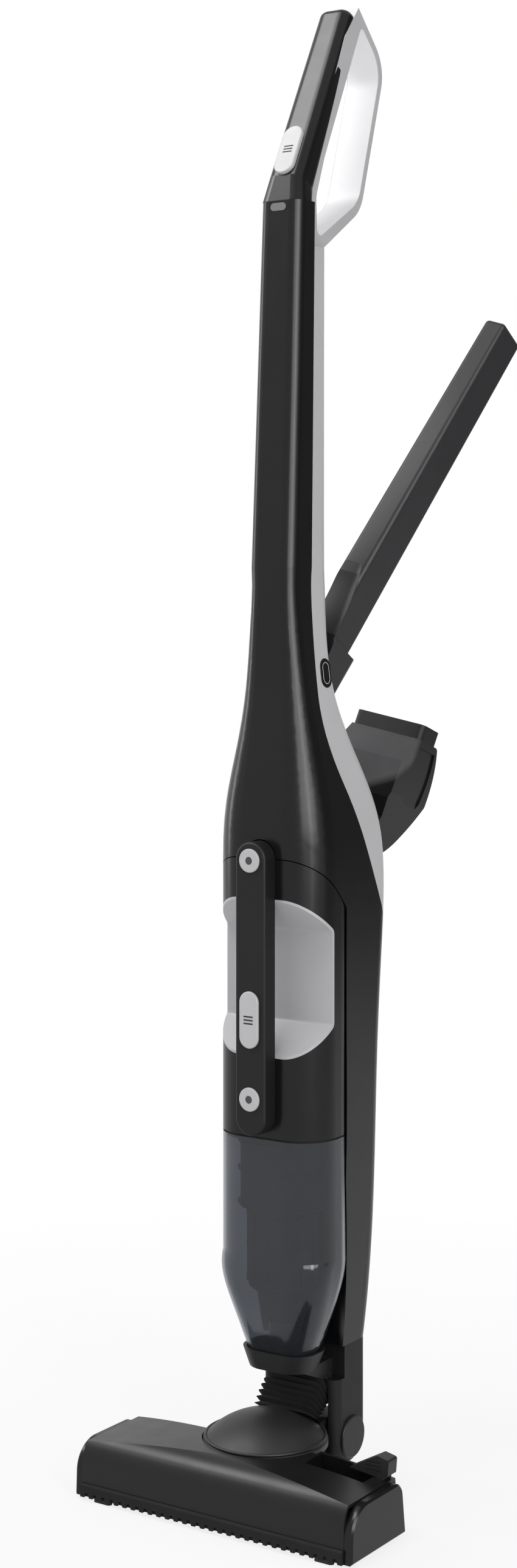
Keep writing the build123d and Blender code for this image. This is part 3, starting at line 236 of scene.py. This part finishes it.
def addRange(tree, source, low, high):
    spread = tree.nodes.new("ShaderNodeMapRange")
    spread.inputs["To Min"].default_value = low
    spread.inputs["To Max"].default_value = high
    tree.links.new(source, spread.inputs["Value"])
    return spread.outputs[0]


def addRelief(tree, body, height, strength, depth):
    relief = tree.nodes.new("ShaderNodeBump")
    relief.inputs["Strength"].default_value = strength
    relief.inputs["Distance"].default_value = depth
    tree.links.new(height, relief.inputs["Height"])
    tree.links.new(relief.outputs[0], body.inputs["Normal"])


def addMix(tree, share, first, second):
    # The first colour where share is 0, the second where it is 1
    mix = tree.nodes.new("ShaderNodeMix")
    mix.data_type = "RGBA"
    tree.links.new(share, mix.inputs[0])
    tree.links.new(first, mix.inputs[6])
    tree.links.new(second, mix.inputs[7])
    return mix.outputs[2]


def addAlong(tree, spot, direction, start, end):
    # 0 to 1 between two distances along a direction
    along = tree.nodes.new("ShaderNodeVectorMath")
    along.operation = "DOT_PRODUCT"
    along.inputs[1].default_value = direction
    tree.links.new(spot.outputs["Object"], along.inputs[0])
    spread = tree.nodes.new("ShaderNodeMapRange")
    spread.inputs["From Min"].default_value = start
    spread.inputs["From Max"].default_value = end
    tree.links.new(along.outputs["Value"], spread.inputs["Value"])
    return spread.outputs[0]


def shade(colour, change):
    return tuple(min(1, max(0, value * change)) for value in colour[:3]) + (1,)


reliefDepth = 0.0004


def mouldedPlastic(name, colour, roughness, grain=900, bump=0.05, spread=0.06, coat=0.0, gleam=0.5):
    # grain is how fine the relief is, and spread how much the colour wanders
    finish, tree, body, spot = startFinish(name)
    cloud = addNoise(tree, spot, 14, 2)
    tone = addRamp(tree, cloud, shade(colour, 1 - spread), shade(colour, 1 + spread))
    tree.links.new(tone, body.inputs["Base Color"])
    wear = addNoise(tree, spot, 60, 4)
    tree.links.new(addRange(tree, wear, roughness * 0.85, roughness * 1.2), body.inputs["Roughness"])
    addRelief(tree, body, addNoise(tree, spot, grain, 2), bump, reliefDepth)
    body.inputs["Coat Weight"].default_value = coat
    body.inputs["Coat Roughness"].default_value = 0.08
    body.inputs["Specular IOR Level"].default_value = gleam
    return finish


def smokyClear(name):
    finish, tree, body, spot = startFinish(name)
    tone = addRamp(tree, addNoise(tree, spot, 9, 2), (0.2, 0.22, 0.25, 1), (0.25, 0.27, 0.3, 1))
    tree.links.new(tone, body.inputs["Base Color"])
    body.inputs["Transmission Weight"].default_value = 0.93
    body.inputs["IOR"].default_value = 1.4
    body.inputs["Specular IOR Level"].default_value = 0.45
    tree.links.new(addRange(tree, addNoise(tree, spot, 40, 3), 0.06, 0.1), body.inputs["Roughness"])
    return finish


def metalFinish(name, colour, roughness):
    finish, tree, body, spot = startFinish(name)
    tone = addRamp(tree, addNoise(tree, spot, 90, 3), shade(colour, 0.9), shade(colour, 1.05))
    tree.links.new(tone, body.inputs["Base Color"])
    body.inputs["Metallic"].default_value = 1
    wear = addNoise(tree, spot, 300, 2)
    tree.links.new(addRange(tree, wear, roughness * 0.8, roughness * 1.3), body.inputs["Roughness"])
    return finish


finishes = {
    "black_gloss": mouldedPlastic("blackGloss", (0.007, 0.007, 0.0075), 0.24, 1400, 0.01, 0.1, 0.0, 0.24),
    "black_matte": mouldedPlastic("blackSatin", (0.008, 0.008, 0.0085), 0.5, 1100, 0.1, 0.1, 0.0, 0.22),
    "dark_grey": mouldedPlastic("darkGreySatin", (0.014, 0.014, 0.015), 0.45, 1100, 0.1, 0.08, 0.0, 0.3),
    "rubber": mouldedPlastic("softRubber", (0.009, 0.009, 0.009), 0.75, 1500, 0.2, 0.1, 0.0, 0.2),
    "felt": mouldedPlastic("feltPad", (0.06, 0.06, 0.06), 0.95, 2500, 0.6, 0.2, 0.0, 0.1),
    "bristle": mouldedPlastic("nylonTuft", (0.03, 0.03, 0.032), 0.6, 3000, 0.5, 0.25, 0.0, 0.3),
    "light_grey": mouldedPlastic("lightGreyShell", (0.54, 0.54, 0.545), 0.35, 1300, 0.04, 0.03, 0.1),
    "lens": mouldedPlastic("lampLens", (0.2, 0.2, 0.205), 0.2, 1400, 0.02, 0.05, 0.2, 0.3),
    "switch_grey": mouldedPlastic("lightGreySwitch", (0.52, 0.52, 0.525), 0.42, 1300, 0.06, 0.03),
    "liner_grey": mouldedPlastic("lightGreyLiner", (0.5, 0.5, 0.51), 0.45, 1300, 0.05, 0.03),
    "white_plastic": mouldedPlastic("whitePart", (0.75, 0.75, 0.74), 0.45, 1200, 0.05, 0.03),
    "filter_dark": mouldedPlastic("darkMesh", (0.06, 0.06, 0.068), 0.7, 500, 0.05, 0.1),
    "filter_paper": mouldedPlastic("filterPaper", (0.72, 0.72, 0.68), 0.9, 2200, 0.3, 0.06),
    "tool_grey": mouldedPlastic("toolGrey", (0.022, 0.022, 0.024), 0.42, 1000, 0.1, 0.08, 0.0, 0.3),
    "smoke": smokyClear("smokyClear"),
    "steel": metalFinish("plainSteel", (0.6, 0.6, 0.6), 0.35),
    "brass": metalFinish("contactBrass", (0.8, 0.6, 0.32), 0.3),
}


def twoTone(name, dark, pale, masks, roughness, gleam):
    # Dark plastic that is paler where every mask along its direction is passed
    finish, tree, body, spot = startFinish(name)
    last = None
    for direction, start, end in masks:
        mask = addAlong(tree, spot, direction, start, end)
        if last is not None:
            both = tree.nodes.new("ShaderNodeMath")
            both.operation = "MULTIPLY"
            tree.links.new(last, both.inputs[0])
            tree.links.new(mask, both.inputs[1])
            mask = both.outputs[0]
        last = mask
    tones = []
    for colour in (dark, pale):
        tones.append(addRamp(tree, addNoise(tree, spot, 25, 3), shade(colour, 0.9), shade(colour, 1.1)))
    tree.links.new(addMix(tree, last, *tones), body.inputs["Base Color"])
    tree.links.new(addRange(tree, last, *roughness), body.inputs["Roughness"])
    addRelief(tree, body, addNoise(tree, spot, 1000, 2), 0.08, reliefDepth)
    body.inputs["Specular IOR Level"].default_value = gleam
    return finish


def toolAxes(lean, swing=30):
    # Where a tool that leans out points: along itself, and to its rear
    lean, swing = math.radians(lean), math.radians(swing)
    way = Vector((math.sin(swing), math.cos(swing), 0))
    along = way * math.sin(lean) + Vector((0, 0, math.cos(lean)))
    rear = way * math.cos(lean) - Vector((0, 0, math.sin(lean)))
    return along, rear


# The upholstery tool is pale in front of its back and beyond a slope, each with a soft edge: the pale front
# is painted light, and the dark back and side are painted shade
upholsteryPaintedLight = {
    "pivot": Vector((0, 106, 478)) * mm, "lean": 20.8, "backAt": 24, "backEdge": 6,
    "slopeAt": 62, "slopeEdge": 8, "slope": 0.97,
}
along, rear = toolAxes(upholsteryPaintedLight["lean"])
backAt = rear.dot(upholsteryPaintedLight["pivot"]) + upholsteryPaintedLight["backAt"] * mm
slopeWay = along * upholsteryPaintedLight["slope"] - rear
slopeAt = slopeWay.dot(upholsteryPaintedLight["pivot"]) + upholsteryPaintedLight["slopeAt"] * mm
# Dark is painted shade on the tool's back and side, and pale is painted light on its front
upholsteryPaintedLightFinish = twoTone(
    "upholsteryPaintedShade", (0.008, 0.008, 0.009), (0.085, 0.085, 0.088),
    [
        (-rear, -backAt, -backAt + upholsteryPaintedLight["backEdge"] * mm),
        (slopeWay, slopeAt, slopeAt + upholsteryPaintedLight["slopeEdge"] * mm),
    ],
    (0.22, 0.5), 0.18,
)

# The crevice tool is darker and glossier up to the end of its collar
creviceTone = {"pivot": Vector((0, 72.5, 633)) * mm, "lean": 33, "collarEnd": 24, "edge": 0.4}
along = toolAxes(creviceTone["lean"])[0]
atCollar = along.dot(creviceTone["pivot"]) + creviceTone["collarEnd"] * mm
collarEdge = creviceTone["edge"] * mm
creviceFinish = twoTone(
    "creviceGrey", (0.01, 0.01, 0.011), (0.024, 0.024, 0.026),
    [(along, atCollar - collarEdge, atCollar + collarEdge)], (0.25, 0.42), 0.26,
)

# The inner tone is painted light on the loop's broad faces, and the side tone is painted shade on its two
# sides
loopPaintedTones = {"inner": (0.86, 0.86, 0.865), "side": (0.5, 0.5, 0.505), "edge": (0.7, 0.1)}
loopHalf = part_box("handle_loop")[1][0]


def paintedLightLoopFinish(name):
    # The loop's broad faces are paler than its two sides, with a soft edge between: the broad faces carry
    # painted light over the loop's own pale grey, and the sides carry painted shade
    finish, tree, body, spot = startFinish(name)
    split = tree.nodes.new("ShaderNodeSeparateXYZ")
    tree.links.new(spot.outputs["Object"], split.inputs[0])
    across = tree.nodes.new("ShaderNodeMath")
    across.operation = "ABSOLUTE"
    tree.links.new(split.outputs["X"], across.inputs[0])
    spread = tree.nodes.new("ShaderNodeMapRange")
    spread.inputs["From Min"].default_value = loopHalf - loopPaintedTones["edge"][0] * mm
    spread.inputs["From Max"].default_value = loopHalf - loopPaintedTones["edge"][1] * mm
    tree.links.new(across.outputs[0], spread.inputs["Value"])
    tones = []
    for colour in (loopPaintedTones["inner"], loopPaintedTones["side"]):
        tones.append(addRamp(tree, addNoise(tree, spot, 20, 3), shade(colour, 0.97), shade(colour, 1.03)))
    tree.links.new(addMix(tree, spread.outputs[0], *tones), body.inputs["Base Color"])
    tree.links.new(addRange(tree, addNoise(tree, spot, 60, 4), 0.35, 0.5), body.inputs["Roughness"])
    addRelief(tree, body, addNoise(tree, spot, 1300, 2), 0.04, reliefDepth)
    return finish


ownFinish = {
    "nozzle_cover": mouldedPlastic("nozzleSatin", (0.007, 0.007, 0.0075), 0.33, 1400, 0.02, 0.1, 0.0, 0.27),
    "upholstery_nozzle": upholsteryPaintedLightFinish,
    "crevice_tool": creviceFinish,
    "handle_loop": paintedLightLoopFinish("paintedLightLoop"),
}

slotOf = {entry["node"]: entry["material_slot"] for entry in frame["record"]["subparts"]}
for name, node in nodes.items():
    node.data.materials.clear()
    node.data.materials.append(ownFinish.get(name, finishes[slotOf[name]]))
print("finishes given to", len(nodes), "nodes")

# ---- making of the added pieces


def makePiece(name, form, slot, body, angle=35, finish=None):
    # Closed forms get outward faces, smooth apart from their edges
    bmesh.ops.recalc_face_normals(form, faces=form.faces)
    for face in form.faces:
        face.smooth = True
    for edge in form.edges:
        if len(edge.link_faces) == 2 and edge.calc_face_angle(0) > math.radians(angle):
            edge.smooth = False
    mesh = bpy.data.meshes.new(name)
    form.to_mesh(mesh)
    form.free()
    mesh.materials.append(finish or finishes[slot])
    piece = bpy.data.objects.new(name, mesh)
    bpy.context.scene.collection.objects.link(piece)
    if body:
        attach(piece, body)
    return piece


def facing(centre, out, up=(0, 0, 1)):
    # A form drawn in x and y, standing up in z, is set against a surface that faces out
    out = Vector(out).normalized()
    right = Vector(up).cross(out).normalized()
    turn = Matrix((right, out.cross(right), out)).transposed().to_4x4()
    return Matrix.Translation(centre) @ turn


def surfaceOf(name):
    form = bmesh.new()
    form.from_mesh(nodes[name].data)
    tree = BVHTree.FromBMesh(form)
    form.free()
    return tree


def slotOutline(form, width, height, segments=10, corner=None):
    # A closed ring of edges: round corners, or two half circles, joined by straight sides
    radius = corner or min(width, height) / 2
    nearAxis = 1e-7
    ring = bmesh.ops.create_circle(form, cap_ends=False, segments=4 * segments, radius=radius)["verts"]
    shift = Vector((width / 2 - radius, height / 2 - radius, 0))
    for vert in ring:
        vert.co.x += math.copysign(shift.x, vert.co.x) if abs(vert.co.x) > nearAxis else 0
        vert.co.y += math.copysign(shift.y, vert.co.y) if abs(vert.co.y) > nearAxis else 0
    return ring


def edgesOf(items):
    # The edges at a list of vertices, or round a list of faces, each once
    found = set()
    for item in items:
        found.update(item.link_edges if isinstance(item, bmesh.types.BMVert) else item.edges)
    return list(found)


def roundOff(form, edges, radius, segments):
    bmesh.ops.bevel(
        form, geom=edges, offset=radius, segments=segments, profile=0.5, affect="EDGES", material=-1,
    )


def highestFace(form):
    return max(form.faces, key=lambda face: face.calc_center_median().z)


def raisedPlate(width, height, rise, roundness, sunk=0.0):
    # A small plate with a rounded rim, from z 0 to rise, and a dish sunk in its face
    form = bmesh.new()
    outline = edgesOf(slotOutline(form, width, height))
    base = bmesh.ops.contextual_create(form, geom=outline)["faces"]
    top = bmesh.ops.extrude_face_region(form, geom=base)["geom"]
    topVerts = [item for item in top if isinstance(item, bmesh.types.BMVert)]
    bmesh.ops.translate(form, verts=topVerts, vec=(0, 0, rise))
    roundOff(form, edgesOf([item for item in top if isinstance(item, bmesh.types.BMFace)]), roundness, 3)
    if sunk:
        dishRim = roundness * 1.2
        bmesh.ops.inset_individual(form, faces=[highestFace(form)], thickness=dishRim, depth=-sunk)
    return form


def joinForms(target, source):
    mesh = bpy.data.meshes.new("joining")
    source.to_mesh(mesh)
    source.free()
    target.from_mesh(mesh)
    bpy.data.meshes.remove(mesh)


# A small round dot, slightly dished, in the middle of each button
buttonDots = {
    "releaseButtonDot": ("release_button", "release"),
    "binButtonDot": ("bin_button", "bin_release"),
}
dotFinish = mouldedPlastic("buttonDotGrey", (0.07, 0.07, 0.072), 0.5, 1100, 0.1, 0.08, 0.0, 0.22)
dotSize = {"across": 5.4 * mm, "rise": 0.5 * mm, "proud": 0.12 * mm, "rim": 0.15 * mm, "dish": 0.15 * mm}
across = dotSize["across"]
for pieceName, (nodeName, bodyName) in buttonDots.items():
    low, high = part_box(nodeName)
    form = raisedPlate(across, across, dotSize["rise"], dotSize["rim"], dotSize["dish"])
    place = ((low[0] + high[0]) / 2, low[1] - dotSize["proud"] + dotSize["rise"], (low[2] + high[2]) / 2)
    form.transform(facing(place, (0, -1, 0)))
    makePiece(pieceName, form, "black_matte", bodyName, finish=dotFinish)

slideRibs = {
    "ribs": 3, "pitch": 2.6 * mm, "width": 8.5 * mm, "height": 1.1 * mm,
    "rise": 0.5 * mm, "rim": 0.2 * mm, "sunk": 0.25 * mm,
}
# The handle's bar leans back by this much
barLean = math.radians(26.6)
handleFront = Vector((0, -math.cos(barLean), math.sin(barLean)))
handleUp = Vector((0, math.sin(barLean), math.cos(barLean)))


def slideGrip(pieceName, nodeName, bodyName, out, up):
    # Ribs across a slide, set on the spot where a ray from outside meets its middle
    low, high = (Vector(corner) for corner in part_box(nodeName))
    outside = (low + high) / 2 + out * 50 * mm
    hit = surfaceOf(nodeName).ray_cast(outside, -out)[0]
    form = bmesh.new()
    for step in range(slideRibs["ribs"]):
        rib = raisedPlate(slideRibs["width"], slideRibs["height"], slideRibs["rise"], slideRibs["rim"])
        along = (step - (slideRibs["ribs"] - 1) / 2) * slideRibs["pitch"]
        rib.transform(facing(hit + up * along - out * slideRibs["sunk"], out, up))
        joinForms(form, rib)
    makePiece(pieceName, form, "dark_grey", bodyName)


slideGrip("handleSwitchRibs", "handle_switch", "stick_switch", handleFront, handleUp)
slideGrip("handSwitchRibs", "hand_switch", "handheld_switch", Vector((0, -1, 0)), Vector((0, 0, 1)))
print("buttons and slides dressed")

# Cover over the tool bracket's pivot, on the side of the grey shell
pivotCover = {
    "height": 23 * mm, "width": 15 * mm, "rise": 1.2 * mm, "depth": 44 * mm, "level": 629 * mm,
    "ringRim": 0.5 * mm, "ringSunk": 0.7 * mm,
    "capMargin": 6 * mm, "capRim": 0.3 * mm, "capDish": 0.2 * mm, "capSunk": 0.55 * mm,
}
outside = Vector((200 * mm, pivotCover["depth"], pivotCover["level"]))
hit, out, _, _ = surfaceOf("rear_shell").ray_cast(outside, Vector((-1, 0, 0)))
form = raisedPlate(pivotCover["width"], pivotCover["height"], pivotCover["rise"], pivotCover["ringRim"])
form.transform(facing(hit - out * pivotCover["ringSunk"], out))
makePiece("pivotCoverRing", form, "black_gloss", "stick")
capWidth = pivotCover["width"] - pivotCover["capMargin"]
capHeight = pivotCover["height"] - pivotCover["capMargin"]
form = raisedPlate(capWidth, capHeight, pivotCover["rise"], pivotCover["capRim"], pivotCover["capDish"])
form.transform(facing(hit - out * pivotCover["capSunk"], out))
makePiece("pivotCoverCap", form, "light_grey", "stick")

# Raised lip round the dome, open at the back
domeLip = {
    "radius": 45.9 * mm, "height": 50.6 * mm, "half": 1.3 * mm, "sides": 10,
    "start": 123, "sweep": 294, "steps": 72,
}
form = bmesh.new()
bmesh.ops.create_circle(form, cap_ends=False, segments=domeLip["sides"], radius=domeLip["half"])
form.transform(Matrix.Rotation(math.pi / 2, 4, "X"))
form.transform(Matrix.Translation((domeLip["radius"], 0, domeLip["height"])))
form.transform(Matrix.Rotation(math.radians(domeLip["start"]), 4, "Z"))
bmesh.ops.spin(
    form, geom=form.verts[:] + form.edges[:], cent=(0, 0, 0), axis=(0, 0, 1),
    angle=math.radians(domeLip["sweep"]), steps=domeLip["steps"], use_duplicate=False,
)
bmesh.ops.holes_fill(form, edges=[edge for edge in form.edges if edge.is_boundary])
makePiece("domeLip", form, "dark_grey", "neck", 60)
print("dome lip made")

# Rings and ribs of the filter's frame, inside the clear container
filterFrame = {
    "y": 24, "rings": (222, 248, 270), "half": (34.9, 26.6), "lowRings": (166, 190, 214), "lowHalf": 26.6,
    "ringHeight": 1.6, "ringWall": 1.1, "ribs": 12, "ribStart": 8, "rib": (2.2, 1.6, 54), "ribLevel": 190,
    "ribSunk": 0.2, "ribRound": 0.4,
}


def filterRing(form, level, halfWide, halfDeep):
    ring = bmesh.new()
    rim = edgesOf(slotOutline(ring, 2 * halfWide * mm, 2 * halfDeep * mm, 12))
    raised = bmesh.ops.extrude_edge_only(ring, edges=rim)["geom"]
    raised = [item for item in raised if isinstance(item, bmesh.types.BMVert)]
    bmesh.ops.translate(ring, verts=raised, vec=(0, 0, filterFrame["ringHeight"] * mm))
    bmesh.ops.recalc_face_normals(ring, faces=ring.faces)
    bmesh.ops.solidify(ring, geom=ring.faces[:], thickness=-filterFrame["ringWall"] * mm)
    ring.transform(Matrix.Translation((0, filterFrame["y"] * mm, level * mm)))
    joinForms(form, ring)


form = bmesh.new()
for level in filterFrame["rings"]:
    filterRing(form, level, *filterFrame["half"])
for level in filterFrame["lowRings"]:
    filterRing(form, level, filterFrame["lowHalf"], filterFrame["lowHalf"])
reach = (filterFrame["lowHalf"] - filterFrame["ribSunk"]) * mm
for step in range(filterFrame["ribs"]):
    turn = math.radians(360 / filterFrame["ribs"] * step + filterFrame["ribStart"])
    rib = bmesh.new()
    bmesh.ops.create_cube(rib, size=1)
    bmesh.ops.scale(rib, verts=rib.verts, vec=Vector(filterFrame["rib"]) * mm)
    roundOff(rib, rib.edges[:], filterFrame["ribRound"] * mm, 2)
    middle = Vector((0, filterFrame["y"], filterFrame["ribLevel"])) * mm
    place = middle + Vector((reach * math.cos(turn), reach * math.sin(turn), 0))
    rib.transform(Matrix.Translation(place) @ Matrix.Rotation(turn + math.pi / 2, 4, "Z"))
    joinForms(form, rib)
makePiece("filterFrame", form, "filter_dark", "handheld")
print("filter frame made")

# Nylon tufts in four spiral rows that run from the middle of the roller to both ends
tuftSpec = {
    "rows": 4, "pitch": 5.2, "turn": 35, "endMargin": 2, "hub": 10.6, "reach": 17.4,
    "strands": 4, "sides": 5, "thick": 0.55, "taper": 0.6, "splay": 5, "spread": 0.7,
}
low, high = (Vector(corner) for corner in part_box("brush_bristles"))
centre = (low + high) / 2
half = (high.x - low.x) / 2 - tuftSpec["endMargin"] * mm


def tuftForm():
    # A few tapered strands that start apart at the hub and splay outward
    form = bmesh.new()
    splay = math.radians(tuftSpec["splay"])
    spread = tuftSpec["spread"] * mm
    length = (tuftSpec["reach"] - tuftSpec["hub"]) * mm
    middle = (tuftSpec["reach"] + tuftSpec["hub"]) / 2 * mm
    for strand in range(tuftSpec["strands"]):
        turn = 2 * math.pi * strand / tuftSpec["strands"]
        straw = bmesh.new()
        bmesh.ops.create_cone(
            straw, cap_ends=True, segments=tuftSpec["sides"], radius1=tuftSpec["thick"] * mm,
            radius2=tuftSpec["thick"] * tuftSpec["taper"] * mm, depth=length,
        )
        bmesh.ops.translate(straw, verts=straw.verts, vec=(0, 0, middle))
        straw.transform(Matrix.Translation((spread * math.cos(turn), spread * math.sin(turn), 0)))
        straw.transform(Matrix.Rotation(splay * math.cos(turn), 4, "Y"))
        straw.transform(Matrix.Rotation(splay * math.sin(turn), 4, "X"))
        joinForms(form, straw)
    return form


form = bmesh.new()
count = int(half / (tuftSpec["pitch"] * mm))
for side in (-1, 1):
    for row in range(tuftSpec["rows"]):
        for step in range(count + 1):
            share = step / count
            turn = math.radians(360 * row / tuftSpec["rows"] + 2 * tuftSpec["turn"] * share - 90)
            place = (centre.x + side * half * share, centre.y, centre.z)
            tuft = tuftForm()
            tuft.transform(Matrix.Translation(place) @ Matrix.Rotation(-turn, 4, "X"))
            joinForms(form, tuft)
tufts = makePiece("bristleTufts", form, "bristle", "brush", 50)
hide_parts("brush_bristles")
print("bristle tufts made")

# Ribbed hose from the neck to the stick, in an arc round the hinge. Its two ends are angles
# round the hinge, and its other sizes are in millimetres.
hoseSpec = {
    "hinge": Vector((0, 68, 36)) * mm, "neckEnd": 149, "stickEnd": 107, "ribs": 8, "steps": 4,
    "width": 51.6, "inner": 31, "outer": 58, "groove": 1.5, "corner": 7,
}
hoseMiddle = (hoseSpec["inner"] + hoseSpec["outer"]) / 2 * mm
hoseDeep = hoseSpec["outer"] - hoseSpec["inner"]


def hoseSpot(angle):
    # The hose's middle at an angle round the hinge, and the way out from the hinge there
    turn = math.radians(angle)
    away = Vector((0, math.cos(turn), math.sin(turn)))
    return hoseSpec["hinge"] + away * hoseMiddle, away


form = bmesh.new()
rings = hoseSpec["ribs"] * hoseSpec["steps"] + 1
for step in range(rings):
    share = step / (rings - 1)
    place, away = hoseSpot(hoseSpec["neckEnd"] + (hoseSpec["stickEnd"] - hoseSpec["neckEnd"]) * share)
    shrink = hoseSpec["groove"] * (1 - math.cos(2 * math.pi * step / hoseSpec["steps"]))
    width, deep = (hoseSpec["width"] - 2 * shrink) * mm, (hoseDeep - 2 * shrink) * mm
    ring = bmesh.new()
    slotOutline(ring, width, deep, 10, hoseSpec["corner"] * mm)
    ring.transform(facing(place, Vector((0, away.z, -away.y)), away))
    joinForms(form, ring)
form.edges.ensure_lookup_table()
perRing = len(form.edges) // rings
loops = [form.edges[perRing * step:perRing * (step + 1)] for step in range(rings)]
for first, second in zip(loops, loops[1:]):
    bmesh.ops.bridge_loops(form, edges=first + second)
bmesh.ops.holes_fill(form, edges=[edge for edge in form.edges if edge.is_boundary])
hose = makePiece("hoseBellows", form, "rubber", None, 50)
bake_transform(hose)
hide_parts("suction_hose")
print("hose made")

# Small screws with a round pit in the head, at the back (x, z) and under the floor nozzle (x, y)
screwSpec = {
    "radius": 2.9, "rise": 1.1, "round": 0.35, "rim": 1.2, "pitWall": 0.25, "pitDepth": 0.6, "sunk": 0.25,
}
backSpots = [(0, 470), (-30, 160), (30, 160), (0, 250)]
baseSpots = [(-108, -66), (108, -66), (-60, -6), (60, -6)]


def screwForm():
    form = bmesh.new()
    radius = screwSpec["radius"] * mm
    bmesh.ops.create_cone(
        form, cap_ends=True, segments=24, radius1=radius, radius2=radius, depth=screwSpec["rise"] * mm,
    )
    head = [face for face in form.faces if face.normal.z > 0.9]
    roundOff(form, edgesOf(head), screwSpec["round"] * mm, 2)
    top = highestFace(form)
    bmesh.ops.inset_individual(form, faces=[top], thickness=screwSpec["rim"] * mm)
    pitDepth = screwSpec["pitDepth"] * mm
    bmesh.ops.inset_individual(form, faces=[top], thickness=screwSpec["pitWall"] * mm, depth=-pitDepth)
    return form


def setScrews(pieceName, spots, body, nodeName, out):
    # out is +Y for the back and -Z for the underside, and each ray starts well outside
    skin = surfaceOf(nodeName)
    form = bmesh.new()
    for across, along in spots:
        start = Vector((across, 300, along) if out.y else (across, along, -100)) * mm
        hit, normal, _, _ = skin.ray_cast(start, -out)
        if hit is None:
            print("no place for a screw at", across, along)
            continue
        screw = screwForm()
        screw.transform(facing(hit - normal * screwSpec["sunk"] * mm, normal, (1, 0, 0)))
        joinForms(form, screw)
    makePiece(pieceName, form, "steel", body)


setScrews("backScrews", backSpots, "stick", "back_cover", Vector((0, 1, 0)))
setScrews("baseScrews", baseSpots, "nozzle", "nozzle_base", Vector((0, 0, -1)))
print("screws set")
